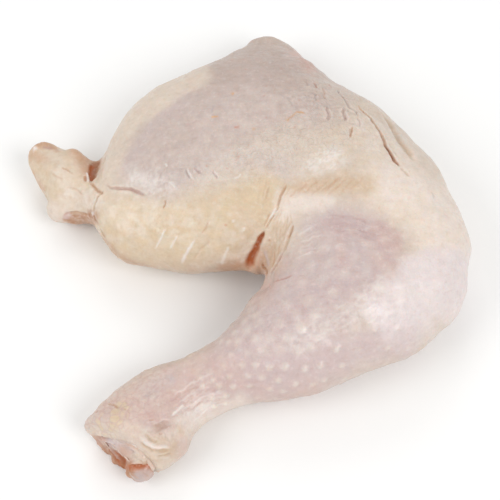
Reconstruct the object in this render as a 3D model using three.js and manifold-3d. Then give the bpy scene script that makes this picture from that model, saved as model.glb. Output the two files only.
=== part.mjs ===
// A raw chicken leg, thigh and drumstick in one piece, folded at the knee and lying on a table.
// Millimetres, +Z up. The knee points to +X, the thigh lies to +Y, and the cut hock points to -X, -Y.
// The flesh and skin are one closed form: limbs with oval sections, melted together and then
// meshed over a grid. The bone end that shows at the cut hock is a piece of its own.
import * as THREE from 'three';
import { mergeVertices } from 'three/addons/utils/BufferGeometryUtils.js';
import Module from 'manifold-3d';

const wasm = await Module();
wasm.setup();

// ---- driving dimensions ----
const gridCell = 3;          // size of one cell of the grid that the flesh is meshed over
const slicesPerSpan = 5;     // slices between two stations of a limb
const meltKnee = 4;          // how softly thigh and drumstick run into each other
const meltPeak = 8;          // how softly the thigh's far corner runs into it
const meltWeb = 9;           // how softly the web of skin runs into both
const meltKnob = 5;          // how softly the hip knob runs into the thigh
const restDepth = 0.9;       // how much the leg's own weight flattens its underside
const shortestEdge = 0.08;   // edges under this length, left by the cuts, are closed up
const boneGap = 0.35;        // clearance between the bone and the flesh round it
const shaftRadii = [5.2, 4]; // of the bone where it lies in the flesh, across and up
const shaftDepth = 14;       // how far the bone is let into the flesh

// Stations of the limbs, from one end to the other: the middle of the section, its half widths
// to the left and right of the way the limb runs, and its half heights above and below.
// The caps are how far a limb's rounded ends reach past its first and last station.
const thighStations = [
  { at: [-45, 21, 14.5], left: 15.5, right: 23.5, up: 14, down: 14.5 },
  { at: [-31, 26, 17], left: 33.5, right: 33.5, up: 17.5, down: 17 },
  { at: [-17, 29, 19], left: 41.5, right: 36, up: 20, down: 19 },
  { at: [3, 31, 19.5], left: 47.5, right: 36, up: 21.5, down: 19.5 },
  { at: [20, 27, 19.5], left: 40.5, right: 28, up: 22, down: 19.5 },
  { at: [37, 18, 19], left: 33.5, right: 25, up: 21.5, down: 19 },
  { at: [52, 6, 18.5], left: 22, right: 22, up: 20.5, down: 18.5 },
  { at: [59, -4, 18.5], left: 16, right: 20, up: 19, down: 18.5 },
];
const thighCaps = { start: 10.5, end: 9.5 };

// The thigh's far corner, a blunt ridge.
const peakStations = [
  { at: [2, 45, 16.5], left: 33, right: 33, up: 15, down: 16.5 },
  { at: [4, 66, 14.5], left: 23, right: 25.5, up: 13, down: 14.5 },
  { at: [6.5, 85, 12], left: 10, right: 11, up: 8, down: 9 },
];
const peakCaps = { start: 14, end: 10 };

const drumStations = [
  { at: [52, -8, 18.5], left: 23, right: 22, up: 19.5, down: 18.5 },
  { at: [40, -13, 19], left: 27, right: 27, up: 20.5, down: 19 },
  { at: [27, -18, 19], left: 28.3, right: 22.5, up: 20.5, down: 19 },
  { at: [13, -31, 16.5], left: 20.7, right: 17, up: 17.5, down: 16.5 },
  { at: [4, -37, 15], left: 14.7, right: 14.7, up: 15, down: 15 },
  { at: [-7, -42, 12.5], left: 10.7, right: 10.7, up: 12, down: 12.5 },
  { at: [-17, -47, 11.5], left: 10.5, right: 11.2, up: 10, down: 11.5 },
  { at: [-25, -52, 11.5], left: 11.7, right: 13, up: 10, down: 11.5 },
  { at: [-33, -60, 12], left: 15, right: 15, up: 11, down: 12 },
  { at: [-41, -67, 12], left: 14, right: 14, up: 11, down: 12 },
  { at: [-50, -76, 12], left: 13, right: 13, up: 11, down: 12 },
];
const drumCaps = { start: 18, end: 10 };

// The web of skin that spans the inside of the bent knee.
const webStations = [
  { at: [28, 12, 27], left: 14, right: 14, up: 12, down: 12 },
  { at: [19, 3, 25], left: 10, right: 10, up: 10.5, down: 12 },
  { at: [14, -3, 19], left: 5, right: 6, up: 10, down: 12 },
];
const webCaps = { start: 10, end: 4 };

// The trimmed lump of fat and skin at the hip end, with a lobe below and a shoulder beside it.
const knobStations = [
  { at: [-44, 23, 13], left: 7, right: 8, up: 8, down: 9 },
  { at: [-54, 25, 12.5], left: 7, right: 9, up: 8, down: 9 },
  { at: [-62, 32, 12], left: 10, right: 8, up: 9, down: 11 },
  { at: [-71, 42, 12], left: 7.5, right: 5.5, up: 7, down: 8 },
];
const knobCaps = { start: 8, end: 5 };
const knobLobeStations = [
  { at: [-60, 29, 11], left: 7, right: 7, up: 7, down: 9 },
  { at: [-65.5, 24, 9], left: 6, right: 6, up: 6, down: 7 },
];
const knobLobeCaps = { start: 6, end: 5 };
const shoulderStations = [
  { at: [-64, 34, 12], left: 7, right: 7, up: 8, down: 9 },
  { at: [-60, 36, 12], left: 6, right: 5, up: 7, down: 8 },
];
const shoulderCaps = { start: 5, end: 5 };

// The plane that cuts the hock off: a point on it and the way it faces.
const hockCut = { at: [-40.7, -66.7, 12], facing: [-0.53, -0.84, 0.12] };

// Where the bone comes out of the cut, and its two rounded ends: how far to the right of the
// middle of the cut, how far up, and how far out of it.
const bonePlace = { right: 5.5, up: -1 };
const condyles = [
  { right: 2.5, up: 1.5, out: -2.5, radii: [5.5, 5, 5] },
  { right: 8, up: -3.6, out: 0, radii: [5.2, 5.4, 5.4] },
];

// Creases that are deep enough to be part of the form. Each point has its depth and half width.
const bendCrease = [
  { at: [12, 18, 43], depth: 0.5, width: 4 },
  { at: [9, 12, 41], depth: 1.5, width: 3.5 },
  { at: [7, 6, 38], depth: 2.5, width: 3 },
  { at: [4, 0, 33], depth: 5, width: 3 },
  { at: [2.5, -5, 27], depth: 6, width: 3 },
  { at: [1, -8, 22], depth: 3, width: 2.5 },
];
const kneeFold = [
  { at: [35, 52, 35], depth: 0.8, width: 2.6 },
  { at: [40, 41, 38], depth: 1.6, width: 2.6 },
  { at: [45, 29, 40], depth: 2, width: 2.6 },
  { at: [50, 19, 40], depth: 0.6, width: 2.6 },
];
const kneeFoldBehind = [
  { at: [47, 42, 34], depth: 0.6, width: 2.6 },
  { at: [51, 30, 37], depth: 1.4, width: 2.6 },
  { at: [55, 22, 38], depth: 0.5, width: 2.6 },
];
const knobCleft = [
  { at: [-54, 34, 17], depth: 1.5, width: 2.2 },
  { at: [-53, 29, 21], depth: 3.5, width: 2.2 },
  { at: [-51, 21, 26], depth: 1, width: 2.2 },
];

// ---- limbs ----

// Smooth curve through four neighbouring values, at t between the middle two.
function between(a, b, c, d, t) {
  const slopeStart = (c - a) / 2;
  const slopeEnd = (d - b) / 2;
  const t2 = t * t;
  const t3 = t2 * t;
  return (2 * t3 - 3 * t2 + 1) * b + (t3 - 2 * t2 + t) * slopeStart
    + (3 * t2 - 2 * t3) * c + (t3 - t2) * slopeEnd;
}

// A limb's stations as evenly spread slices, each with its middle, its sizes and its own axes.
function sliceLimb(stations, caps) {
  const rows = stations.map((s) => [...s.at, s.left, s.right, s.up, s.down]);
  const slices = [];
  const last = rows.length - 1;
  const count = last * slicesPerSpan;
  for (let i = 0; i <= count; i += 1) {
    const span = Math.min(Math.floor(i / slicesPerSpan), last - 1);
    const t = i / slicesPerSpan - span;
    const [a, b, c, d] = [-1, 0, 1, 2].map((k) => rows[THREE.MathUtils.clamp(span + k, 0, last)]);
    const row = b.map((_, k) => between(a[k], b[k], c[k], d[k], t));
    slices.push({ mid: new THREE.Vector3(row[0], row[1], row[2]), sizes: row.slice(3) });
  }
  slices.forEach((slice, i) => {
    const before = slices[Math.max(i - 1, 0)].mid;
    const after = slices[Math.min(i + 1, count)].mid;
    slice.along = after.clone().sub(before).normalize();
    slice.across = new THREE.Vector3(-slice.along.y, slice.along.x, 0).normalize();
    slice.up = slice.along.clone().cross(slice.across);
    if (slice.up.z < 0) slice.up.negate();
    slice.reach = THREE.MathUtils.lerp(caps.start, caps.end, i / count);
  });
  return slices;
}

// Roughly the distance from a point to the skin of a limb, less than zero inside it.
function limbDistance(slices, x, y, z) {
  let best = Infinity;
  for (let i = 0; i + 1 < slices.length; i += 1) {
    const a = slices[i];
    const b = slices[i + 1];
    const sx = b.mid.x - a.mid.x;
    const sy = b.mid.y - a.mid.y;
    const sz = b.mid.z - a.mid.z;
    const along = (x - a.mid.x) * sx + (y - a.mid.y) * sy + (z - a.mid.z) * sz;
    const t = Math.min(Math.max(along / (sx * sx + sy * sy + sz * sz), 0), 1);
    const rx = x - a.mid.x - sx * t;
    const ry = y - a.mid.y - sy * t;
    const rz = z - a.mid.z - sz * t;
    const e = rx * a.along.x + ry * a.along.y + rz * a.along.z;
    const s = rx * a.across.x + ry * a.across.y + rz * a.across.z;
    const h = rx * a.up.x + ry * a.up.y + rz * a.up.z;
    const side = s > 0 ? 0 : 1;
    const tall = h > 0 ? 2 : 3;
    const halfWide = a.sizes[side] + (b.sizes[side] - a.sizes[side]) * t;
    const halfHigh = a.sizes[tall] + (b.sizes[tall] - a.sizes[tall]) * t;
    const reach = a.reach + (b.reach - a.reach) * t;
    const k0 = Math.hypot(e / reach, s / halfWide, h / halfHigh);
    const k1 = Math.hypot(e / reach ** 2, s / halfWide ** 2, h / halfHigh ** 2);
    const d = k1 > 0 ? k0 * (k0 - 1) / k1 : -Math.min(halfWide, halfHigh);
    best = Math.min(best, d);
  }
  return best;
}

// Union of two distances with a soft fillet.
function melt(a, b, softness) {
  const mix = Math.max(softness - Math.abs(a - b), 0) / softness;
  return Math.min(a, b) - mix * mix * softness / 4;
}

// How much deeper the skin lies at a point because of a crease that runs past it.
function creaseDepth(crease, x, y, z) {
  let deepest = 0;
  for (let i = 0; i + 1 < crease.length; i += 1) {
    const a = crease[i];
    const b = crease[i + 1];
    const step = b.at.map((v, n) => v - a.at[n]);
    const away = [x - a.at[0], y - a.at[1], z - a.at[2]];
    const square = step[0] ** 2 + step[1] ** 2 + step[2] ** 2;
    const along = away[0] * step[0] + away[1] * step[1] + away[2] * step[2];
    const t = THREE.MathUtils.clamp(along / square, 0, 1);
    const far = Math.hypot(away[0] - step[0] * t, away[1] - step[1] * t, away[2] - step[2] * t);
    const depth = THREE.MathUtils.lerp(a.depth, b.depth, t);
    const width = THREE.MathUtils.lerp(a.width, b.width, t);
    deepest = Math.max(deepest, depth * Math.exp(-((far / width) ** 2)));
  }
  return deepest;
}

const thigh = sliceLimb(thighStations, thighCaps);
const drumstick = sliceLimb(drumStations, drumCaps);
const web = sliceLimb(webStations, webCaps);
const peak = sliceLimb(peakStations, peakCaps);
const knob = sliceLimb(knobStations, knobCaps);
const knobLobe = sliceLimb(knobLobeStations, knobLobeCaps);
const shoulder = sliceLimb(shoulderStations, shoulderCaps);

function fleshDistance(x, y, z) {
  const thighForm = melt(limbDistance(thigh, x, y, z), limbDistance(peak, x, y, z), meltPeak);
  const folded = melt(thighForm, limbDistance(drumstick, x, y, z), meltKnee);
  const bentLeg = melt(folded, limbDistance(web, x, y, z), meltWeb);
  const knobForm = melt(limbDistance(knob, x, y, z), limbDistance(knobLobe, x, y, z), meltKnob);
  const hip = melt(knobForm, limbDistance(shoulder, x, y, z), meltKnob);
  const creases = [bendCrease, kneeFold, kneeFoldBehind, knobCleft];
  const depths = creases.map((crease) => creaseDepth(crease, x, y, z));
  return melt(bentLeg, hip, meltKnob) + Math.max(...depths);
}

// ---- meshing ----

// The part of space that the grid fills.
const grid = { min: [-82, -92, -6], max: [84, 104, 52] };

// The flesh meshed over the grid: one vertex in each cell that the skin crosses,
// and one four-sided patch for each grid edge that pierces the skin.
function meshFlesh(distance) {
  const counts = grid.min.map((low, k) => Math.ceil((grid.max[k] - low) / gridCell) + 1);
  const [nx, ny, nz] = counts;
  const at = (k, i) => grid.min[k] + i * gridCell;
  const field = new Float64Array(nx * ny * nz);
  const nodeIndex = (i, j, k) => i + nx * (j + ny * k);
  for (let k = 0; k < nz; k += 1) {
    for (let j = 0; j < ny; j += 1) {
      for (let i = 0; i < nx; i += 1) {
        field[nodeIndex(i, j, k)] = distance(at(0, i), at(1, j), at(2, k));
      }
    }
  }
  const cellVertex = new Map();
  const positions = [];
  for (let k = 0; k + 1 < nz; k += 1) {
    for (let j = 0; j + 1 < ny; j += 1) {
      for (let i = 0; i + 1 < nx; i += 1) {
        const point = cellCrossing(field, nodeIndex, i, j, k);
        if (point === null) continue;
        const start = [at(0, i + point[0]), at(1, j + point[1]), at(2, k + point[2])];
        const placed = pullToSkin(distance, start);
        cellVertex.set(nodeIndex(i, j, k), positions.length / 3);
        positions.push(...placed);
      }
    }
  }
  const triangles = [];
  const steps = [[1, 0, 0], [0, 1, 0], [0, 0, 1]];
  for (let k = 1; k + 1 < nz; k += 1) {
    for (let j = 1; j + 1 < ny; j += 1) {
      for (let i = 1; i + 1 < nx; i += 1) {
        const here = field[nodeIndex(i, j, k)] < 0;
        steps.forEach((step, axis) => {
          const there = field[nodeIndex(i + step[0], j + step[1], k + step[2])] < 0;
          if (here === there) return;
          const u = steps[(axis + 1) % 3];
          const v = steps[(axis + 2) % 3];
          const cell = (a, b) => cellVertex.get(
            nodeIndex(i - a * u[0] - b * v[0], j - a * u[1] - b * v[1], k - a * u[2] - b * v[2]),
          );
          const ring = [cell(0, 0), cell(1, 0), cell(1, 1), cell(0, 1)];
          if (there) ring.reverse();
          addPatch(triangles, positions, ring);
        });
      }
    }
  }
  return { positions, triangles };
}

// Mean of the places where the skin crosses the edges of one cell, in cell units, or null.
function cellCrossing(field, nodeIndex, i, j, k) {
  const sum = [0, 0, 0];
  let crossings = 0;
  const value = (c) => field[nodeIndex(i + (c & 1), j + ((c >> 1) & 1), k + (c >> 2))];
  for (let c = 0; c < 8; c += 1) {
    for (let axis = 0; axis < 3; axis += 1) {
      if ((c >> axis) & 1) continue;
      const a = value(c);
      const b = value(c | (1 << axis));
      if ((a < 0) === (b < 0)) continue;
      const t = a / (a - b);
      [0, 1, 2].forEach((n) => {
        sum[n] += n === axis ? t : (c >> n) & 1;
      });
      crossings += 1;
    }
  }
  return crossings ? sum.map((s) => s / crossings) : null;
}

// Moves a point along the slope of the field until it lies on the skin.
function pullToSkin(distance, start) {
  const probe = 0.2;
  const passes = 3;
  const mostMove = gridCell * 0.4;
  const p = [...start];
  for (let pass = 0; pass < passes; pass += 1) {
    const d = distance(...p);
    const slope = [0, 1, 2].map((n) => {
      const q = [...p];
      q[n] += probe;
      return (distance(...q) - d) / probe;
    });
    const steep = slope.reduce((sum, s) => sum + s * s, 0);
    if (steep < 1e-6) break;
    slope.forEach((s, n) => {
      p[n] = THREE.MathUtils.clamp(p[n] - d * s / steep, start[n] - mostMove, start[n] + mostMove);
    });
  }
  return p;
}

// Two triangles over a four-sided patch, split along its shorter diagonal.
function addPatch(triangles, positions, ring) {
  const apart = (m, n) => Math.hypot(...[0, 1, 2].map((k) => positions[3 * m + k] - positions[3 * n + k]));
  const [a, b, c, d] = ring;
  if (apart(a, c) <= apart(b, d)) {
    triangles.push(a, b, c, a, c, d);
  } else {
    triangles.push(a, b, d, b, c, d);
  }
}

// ---- solids ----

function solidFrom(positions, triangles) {
  const mesh = new wasm.Mesh({
    numProp: 3,
    vertProperties: Float32Array.from(positions),
    triVerts: Uint32Array.from(triangles),
  });
  return new wasm.Manifold(mesh);
}

function solidFromGeometry(geometry) {
  const bare = geometry.index ? geometry.toNonIndexed() : geometry.clone();
  bare.deleteAttribute('normal');
  bare.deleteAttribute('uv');
  const merged = mergeVertices(bare, 1e-3);
  return solidFrom(merged.attributes.position.array, merged.index.array);
}

// Cuts leave slivers along their rims. The ends of each edge that is too short become one vertex,
// the lower of the two, so that flat undersides stay flat, and triangles left with no area go.
function withoutSlivers(positions, triangles) {
  const owner = Array.from({ length: positions.length / 3 }, (_, i) => i);
  const rootOf = (i) => {
    let root = i;
    while (owner[root] !== root) root = owner[root];
    return root;
  };
  const lengthOf = (a, b) => Math.hypot(...[0, 1, 2].map((n) => positions[3 * a + n] - positions[3 * b + n]));
  for (let i = 0; i < triangles.length; i += 3) {
    for (let n = 0; n < 3; n += 1) {
      const a = rootOf(triangles[i + n]);
      const b = rootOf(triangles[i + (n + 1) % 3]);
      if (a === b || lengthOf(a, b) > shortestEdge) continue;
      const [low, high] = positions[3 * a + 2] <= positions[3 * b + 2] ? [a, b] : [b, a];
      owner[high] = low;
    }
  }
  const kept = [];
  for (let i = 0; i < triangles.length; i += 3) {
    const [a, b, c] = [0, 1, 2].map((n) => rootOf(triangles[i + n]));
    if (a !== b && b !== c && c !== a) kept.push(a, b, c);
  }
  return kept;
}

function geometryFromSolid(solid) {
  const mesh = solid.getMesh();
  const positions = Float32Array.from(mesh.vertProperties);
  const geometry = new THREE.BufferGeometry();
  geometry.setAttribute('position', new THREE.BufferAttribute(positions, 3));
  geometry.setIndex(withoutSlivers(positions, mesh.triVerts));
  geometry.computeVertexNormals();
  return geometry;
}

// A large block that fills all that lies beyond a point, in the way it faces.
function blockBeyond(point, facing) {
  const side = 300;
  const block = new THREE.BoxGeometry(side, side, side);
  block.translate(0, 0, side / 2);
  const turn = new THREE.Quaternion().setFromUnitVectors(new THREE.Vector3(0, 0, 1), facing);
  block.applyQuaternion(turn);
  block.translate(point.x, point.y, point.z);
  return solidFromGeometry(block);
}

const cutPoint = new THREE.Vector3(...hockCut.at);
const cutFacing = new THREE.Vector3(...hockCut.facing).normalize();
const cutRight = new THREE.Vector3(0, 0, 1).cross(cutFacing).normalize();
const cutUp = cutFacing.clone().cross(cutRight).normalize();

// A place given by how far it lies to the right, up and out of the middle of the cut.
function atCut(right, up, out) {
  return cutPoint.clone()
    .addScaledVector(cutRight, right)
    .addScaledVector(cutUp, up)
    .addScaledVector(cutFacing, out);
}

// An oval rod that stands across the cut, from one depth to another.
function ovalRod(radii, place, inner, outer) {
  const sides = 24;
  const rod = new THREE.CylinderGeometry(1, 1, outer - inner, sides);
  rod.scale(radii[0], 1, radii[1]);
  const basis = new THREE.Matrix4().makeBasis(cutRight, cutFacing, cutUp.clone().negate());
  rod.applyMatrix4(basis);
  const middle = atCut(place.right, place.up, (inner + outer) / 2);
  rod.translate(middle.x, middle.y, middle.z);
  return solidFromGeometry(rod);
}

// One of the two rounded ends of the bone.
function condyle(form) {
  const around = 20;
  const fromPoleToPole = 14;
  const ball = new THREE.SphereGeometry(1, around, fromPoleToPole);
  ball.scale(...form.radii);
  const basis = new THREE.Matrix4().makeBasis(cutRight, cutFacing, cutUp.clone().negate());
  ball.applyMatrix4(basis);
  const middle = atCut(form.right, form.up, form.out);
  ball.translate(middle.x, middle.y, middle.z);
  return solidFromGeometry(ball);
}

function makeFlesh() {
  const skin = meshFlesh(fleshDistance);
  const pocketRadii = shaftRadii.map((r) => r + boneGap);
  const pastCut = 6;
  return solidFrom(skin.positions, skin.triangles)
    .subtract(blockBeyond(cutPoint, cutFacing))
    .subtract(blockBeyond(new THREE.Vector3(0, 0, restDepth), new THREE.Vector3(0, 0, -1)))
    .subtract(ovalRod(pocketRadii, bonePlace, -shaftDepth, pastCut));
}

function makeBone() {
  const knuckles = condyle(condyles[0]).add(condyle(condyles[1]));
  const behindCut = blockBeyond(atCut(0, 0, boneGap), cutFacing.clone().negate());
  const intoKnuckles = 1;
  const shaft = ovalRod(shaftRadii, bonePlace, boneGap - shaftDepth, intoKnuckles);
  return knuckles.subtract(behindCut).add(shaft);
}

const skinFinish = new THREE.MeshStandardMaterial({ color: 0xdcc8bc, roughness: 0.45, metalness: 0 });
const boneFinish = new THREE.MeshStandardMaterial({ color: 0xc9b0a8, roughness: 0.35, metalness: 0 });

function namedMesh(name, solid, finish) {
  const mesh = new THREE.Mesh(geometryFromSolid(solid), finish);
  mesh.name = name;
  return mesh;
}

const chickenLeg = new THREE.Group();
chickenLeg.add(namedMesh('leg', makeFlesh(), skinFinish));
chickenLeg.add(namedMesh('hock_bone', makeBone(), boneFinish));

// The origin lies in the middle of the leg's own box, on the table.
const box = new THREE.Box3().setFromObject(chickenLeg);
const middle = box.getCenter(new THREE.Vector3());
chickenLeg.position.set(-middle.x, -middle.y, -box.min.z);

export default chickenLeg;
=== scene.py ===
import math

import bmesh
import bpy
import numpy as np
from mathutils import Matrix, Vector, noise


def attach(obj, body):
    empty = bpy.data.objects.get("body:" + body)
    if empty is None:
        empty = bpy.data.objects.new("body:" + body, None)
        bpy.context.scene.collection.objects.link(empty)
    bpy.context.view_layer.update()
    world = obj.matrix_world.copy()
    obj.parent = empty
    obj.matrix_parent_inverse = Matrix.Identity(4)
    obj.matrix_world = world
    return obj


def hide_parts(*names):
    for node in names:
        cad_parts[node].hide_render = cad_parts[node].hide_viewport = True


# Raw chicken leg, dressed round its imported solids: fine skin with folds and follicles, the layered
# tissue at the cut hock with its tendons, and the cartilage of the bone end. Lengths are in mm in
# the tables below and become metres when a mesh is written. Pairs of numbers are places in the
# photograph, in pixels, and land on the surface that the camera sees there.
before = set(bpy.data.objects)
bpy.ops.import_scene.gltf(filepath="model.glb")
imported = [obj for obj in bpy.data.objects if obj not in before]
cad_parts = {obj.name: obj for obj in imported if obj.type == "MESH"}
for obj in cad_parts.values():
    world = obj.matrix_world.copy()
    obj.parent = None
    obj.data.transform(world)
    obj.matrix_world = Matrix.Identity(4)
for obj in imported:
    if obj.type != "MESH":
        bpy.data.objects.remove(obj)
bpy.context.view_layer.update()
print("frame loaded")

mm = 0.001

# The camera.
view = {
    "elevation": 60.0,             # degrees above the table, looking along +Y
    "distance": 463.0,             # from the target
    "lens": 100.0,                 # on a sensor of the width below
    "sensor": 36.0,
    "target": (1.9, -9.1, 19.1),
    "imageSize": 500,              # pixels each way
}
viewTilt = math.radians(view["elevation"])
viewBack = np.array((0.0, -math.cos(viewTilt), math.sin(viewTilt)))
viewRight = np.array((1.0, 0.0, 0.0))
viewUp = np.cross(viewBack, viewRight)
eye = np.array(view["target"]) + viewBack * view["distance"]
pixelsPerSlope = view["imageSize"] * view["lens"] / view["sensor"]
pixelsPerMm = pixelsPerSlope / view["distance"]


def makeCamera():
    data = bpy.data.cameras.new("photoCamera")
    data.lens = view["lens"]
    data.sensor_width = view["sensor"]
    data.clip_start = 0.01
    camera = bpy.data.objects.new("photoCamera", data)
    camera.location = Vector(eye) * mm
    camera.rotation_euler = (math.radians(90) - viewTilt, 0, 0)
    bpy.context.collection.objects.link(camera)
    bpy.context.scene.camera = camera


def inPhoto(points):
    away = points - eye
    depth = -(away @ viewBack)
    middle = view["imageSize"] / 2
    across = middle + pixelsPerSlope * (away @ viewRight) / depth
    down = middle - pixelsPerSlope * (away @ viewUp) / depth
    return across, down, depth


# Meshes as arrays.
def readVectors(items, field):
    values = np.empty(len(items) * 3, np.float32)
    items.foreach_get(field, values)
    return values.reshape(-1, 3).astype(float)


def readEdges(mesh):
    ends = np.empty(len(mesh.edges) * 2, np.int32)
    mesh.edges.foreach_get("vertices", ends)
    return ends.reshape(-1, 2)


def surfaceOf(piece):  # everything that the folds and the colours need to know about a mesh
    piece.data.update()
    points = readVectors(piece.data.vertices, "co") / mm
    across, down, depth = inPhoto(points)
    return {
        "piece": piece,
        "points": points,
        "normals": readVectors(piece.data.vertex_normals, "vector"),
        "across": across,
        "down": down,
        "depth": depth,
        "flat": np.stack([across, down], 1) / pixelsPerMm,
        "inks": [],
    }


def wander(points, size, reach, seed):  # a smooth random shift for each point
    start = Vector((7.3 * seed, 2.9 * seed, 4.1 * seed))
    return reach * np.array([noise.noise_vector(Vector(p) + start) for p in points / size])


# How far lines and borders stray: size, reach and seed of each shift, in mm.
straying = {
    "lines": [(5.0, 0.3, 1), (1.6, 0.13, 2)],
    "borders": [(7.0, 1.3, 3), (2.4, 0.6, 4), (1.2, 0.4, 5)],
}


def waver(surface):  # bends the places a little, so that no line or border is ruled
    points = surface["points"]
    surface["wavering"] = points + sum(wander(points, *row) for row in straying["lines"])
    surface["flat"] = surface["flat"] + sum(wander(points, *row) for row in straying["borders"])[:, :2]
    return surface


def writePoints(piece, points):
    piece.data.vertices.foreach_set("co", (points * mm).astype(np.float32).ravel())
    piece.data.update()


def neighbourMeans(values, edges):
    count = len(values)
    a, b = edges.T
    shares = np.bincount(a, minlength=count) + np.bincount(b, minlength=count)
    sums = [
        np.bincount(a, values[b, k], count) + np.bincount(b, values[a, k], count)
        for k in range(values.shape[1])
    ]
    return np.stack(sums, 1) / np.maximum(shares, 1)[:, None]


def smoothed(values, edges, passes):
    for _ in range(passes):
        values = values + 0.5 * (neighbourMeans(values, edges) - values)
    return values


def fineCopy(node, name, voxel, passes):
    merged = bmesh.new()
    merged.from_mesh(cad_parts[node].data)
    bmesh.ops.remove_doubles(merged, verts=merged.verts, dist=0.001 * mm)
    mesh = bpy.data.meshes.new(name)
    merged.to_mesh(mesh)
    merged.free()
    piece = bpy.data.objects.new(name, mesh)
    bpy.context.collection.objects.link(piece)
    remesh = piece.modifiers.new("Remesh", "REMESH")
    remesh.mode = "VOXEL"
    remesh.voxel_size = voxel * mm
    fine = bpy.data.meshes.new_from_object(piece.evaluated_get(bpy.context.evaluated_depsgraph_get()))
    piece.modifiers.clear()
    piece.data = fine
    fine.name = name
    points = readVectors(fine.vertices, "co") / mm
    writePoints(piece, smoothed(points, readEdges(fine), passes))
    return piece


def refine(piece, chosen, passes):  # halves the edges of the faces whose corners are all chosen
    finer = bmesh.new()
    finer.from_mesh(piece.data)
    faces = [face for face in finer.faces if all(chosen[corner.index] for corner in face.verts)]
    edges = sorted({edge for face in faces for edge in face.edges}, key=lambda edge: edge.index)
    bmesh.ops.subdivide_edges(finer, edges=edges, cuts=1, use_grid_fill=True)
    finer.to_mesh(piece.data)
    finer.free()
    points = readVectors(piece.data.vertices, "co") / mm
    writePoints(piece, smoothed(points, readEdges(piece.data), passes))


def towardsEye(surface):  # the points where the surface faces the camera
    return (surface["normals"] * (eye - surface["points"])).sum(1) > 0


# Places on a surface, by where the photograph shows them.
placing = {
    "near": 2.0,        # pixels round a place that count as on it
    "far": 6.0,         # pixels from the nearest point, past which a place lies off the piece
    "behind": 2.5,      # mm behind the nearest of the points found, past which a point is hidden
    "step": 4.0,        # pixels between the places of a path
}


def onSurface(surface, place):
    gap = np.hypot(surface["across"] - place[0], surface["down"] - place[1])
    near = np.flatnonzero(gap < placing["near"])
    if not len(near):
        return surface["points"][gap.argmin()] if gap.min() < placing["far"] else None
    front = near[surface["depth"][near] < surface["depth"][near].min() + placing["behind"]]
    return surface["points"][front].mean(0)


def denseLine(places, step):
    line = []
    for start, end in zip(places[:-1], places[1:]):
        count = max(1, round(math.dist(start, end) / step))
        line += [tuple(s + (e - s) * i / count for s, e in zip(start, end)) for i in range(count)]
    return line + [tuple(places[-1])]


def pathOn(surface, places):  # leaves out what lies off the piece
    if len(places) > 1:
        places = denseLine(places, placing["step"])
    spots = [onSurface(surface, place) for place in places]
    return np.array([spot for spot in spots if spot is not None])


def distanceTo(path, points):  # how far each point is from a path, and how far along it that is
    best = np.full(len(points), np.inf)
    along = np.zeros(len(points))
    if len(path) == 1:
        return np.linalg.norm(points - path[0], axis=1), along + 0.5
    spans = len(path) - 1
    for i in range(spans):
        step = path[i + 1] - path[i]
        square = max(float(step @ step), 1e-9)
        t = np.clip(((points - path[i]) @ step) / square, 0, 1)
        gap = np.linalg.norm(points - path[i] - t[:, None] * step, axis=1)
        nearer = gap < best
        best[nearer] = gap[nearer]
        along[nearer] = (i + t[nearer]) / spans
    return best, along


def nearPath(surface, places, reach):  # the points within reach of a path drawn on the surface
    path = pathOn(surface, places)
    points = surface["wavering"]
    if not len(path):
        return np.zeros(0, int), np.zeros(0), np.zeros(0)
    low, high = path.min(0) - reach, path.max(0) + reach
    index = np.flatnonzero(np.all((points > low) & (points < high), axis=1))
    gap, along = distanceTo(path, points[index])
    close = gap < reach
    return index[close], gap[close], along[close]


def nearField(surface, field):  # how strongly a broad field covers the points that it touches
    strength, start, end, edge, places = field
    reach = max(start, end) * 2.0
    path = np.array(places, float) / pixelsPerMm
    flat = surface["flat"]
    index = np.flatnonzero(np.all((flat > path.min(0) - reach) & (flat < path.max(0) + reach), axis=1))
    gap, along = distanceTo(path, flat[index])
    return index, strength * np.exp(-((gap / (start + (end - start) * along)) ** edge))


def fieldStrength(surface, fields):
    strength = np.zeros(len(surface["points"]))
    for field in fields:
        index, weight = nearField(surface, field)
        strength[index] = np.maximum(strength[index], weight)
    return strength


def fadeEnds(along, share=0.2):
    t = np.clip(np.minimum(along, 1 - along) / share, 0, 1)
    return t * t * (3 - 2 * t)


def fractalAt(points, start, smoothness):
    return np.array([noise.fractal(Vector(p) + start, smoothness, 2.0, 3) for p in points])


def addNoise(surface, height, size, seed):
    start = Vector((3.1 * seed, 7.7 * seed, 1.3 * seed))
    return height * fractalAt(surface["points"] / size, start, 0.8)


# Lines: grooves when their depth is above nothing, and ridges when it is below. Each row holds
# depth, height of the lips beside it, width at its start and end, tone, strength of the tone, places.
def layLines(surface, rows):
    offset = np.zeros(len(surface["points"]))
    for depth, lip, start, end, tone, strength, places in rows:
        index, gap, along = nearPath(surface, places, max(start, end) * 3.4)
        taper = fadeEnds(along) if len(places) > 1 else 1.0
        width = (start + (end - start) * along) * (0.45 + 0.55 * taper)  # thinner towards its ends
        groove = np.exp(-((gap / width) ** 2)) * taper
        beside = np.exp(-(((gap - 2.0 * width) / width) ** 2)) * taper  # lips two widths away
        offset[index] += lip * beside - depth * groove
        if strength:
            cover = np.exp(-((gap / (1.15 * width)) ** 3))
            surface["inks"].append((index, tone, strength * cover * taper))
    return offset


def nearLines(surface, rows, reach):  # the points that lie close to any of the lines
    surface["wavering"] = surface["points"]
    close = np.zeros(len(surface["points"]), bool)
    for _, _, start, end, _, _, places in rows:
        close[nearPath(surface, places, max(start, end) + reach)[0]] = True
    return close


families = {
    "place": (0.15, 0.85),      # of the way from one line to the next
    "step": 5.0,                # pixels between the places of a line
    "wobble": 0.7,              # pixels
    "cut": 3,                   # each end loses up to one such part of the line
    "vary": (0.5, 1.2),         # of the depth and the tone
}


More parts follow.
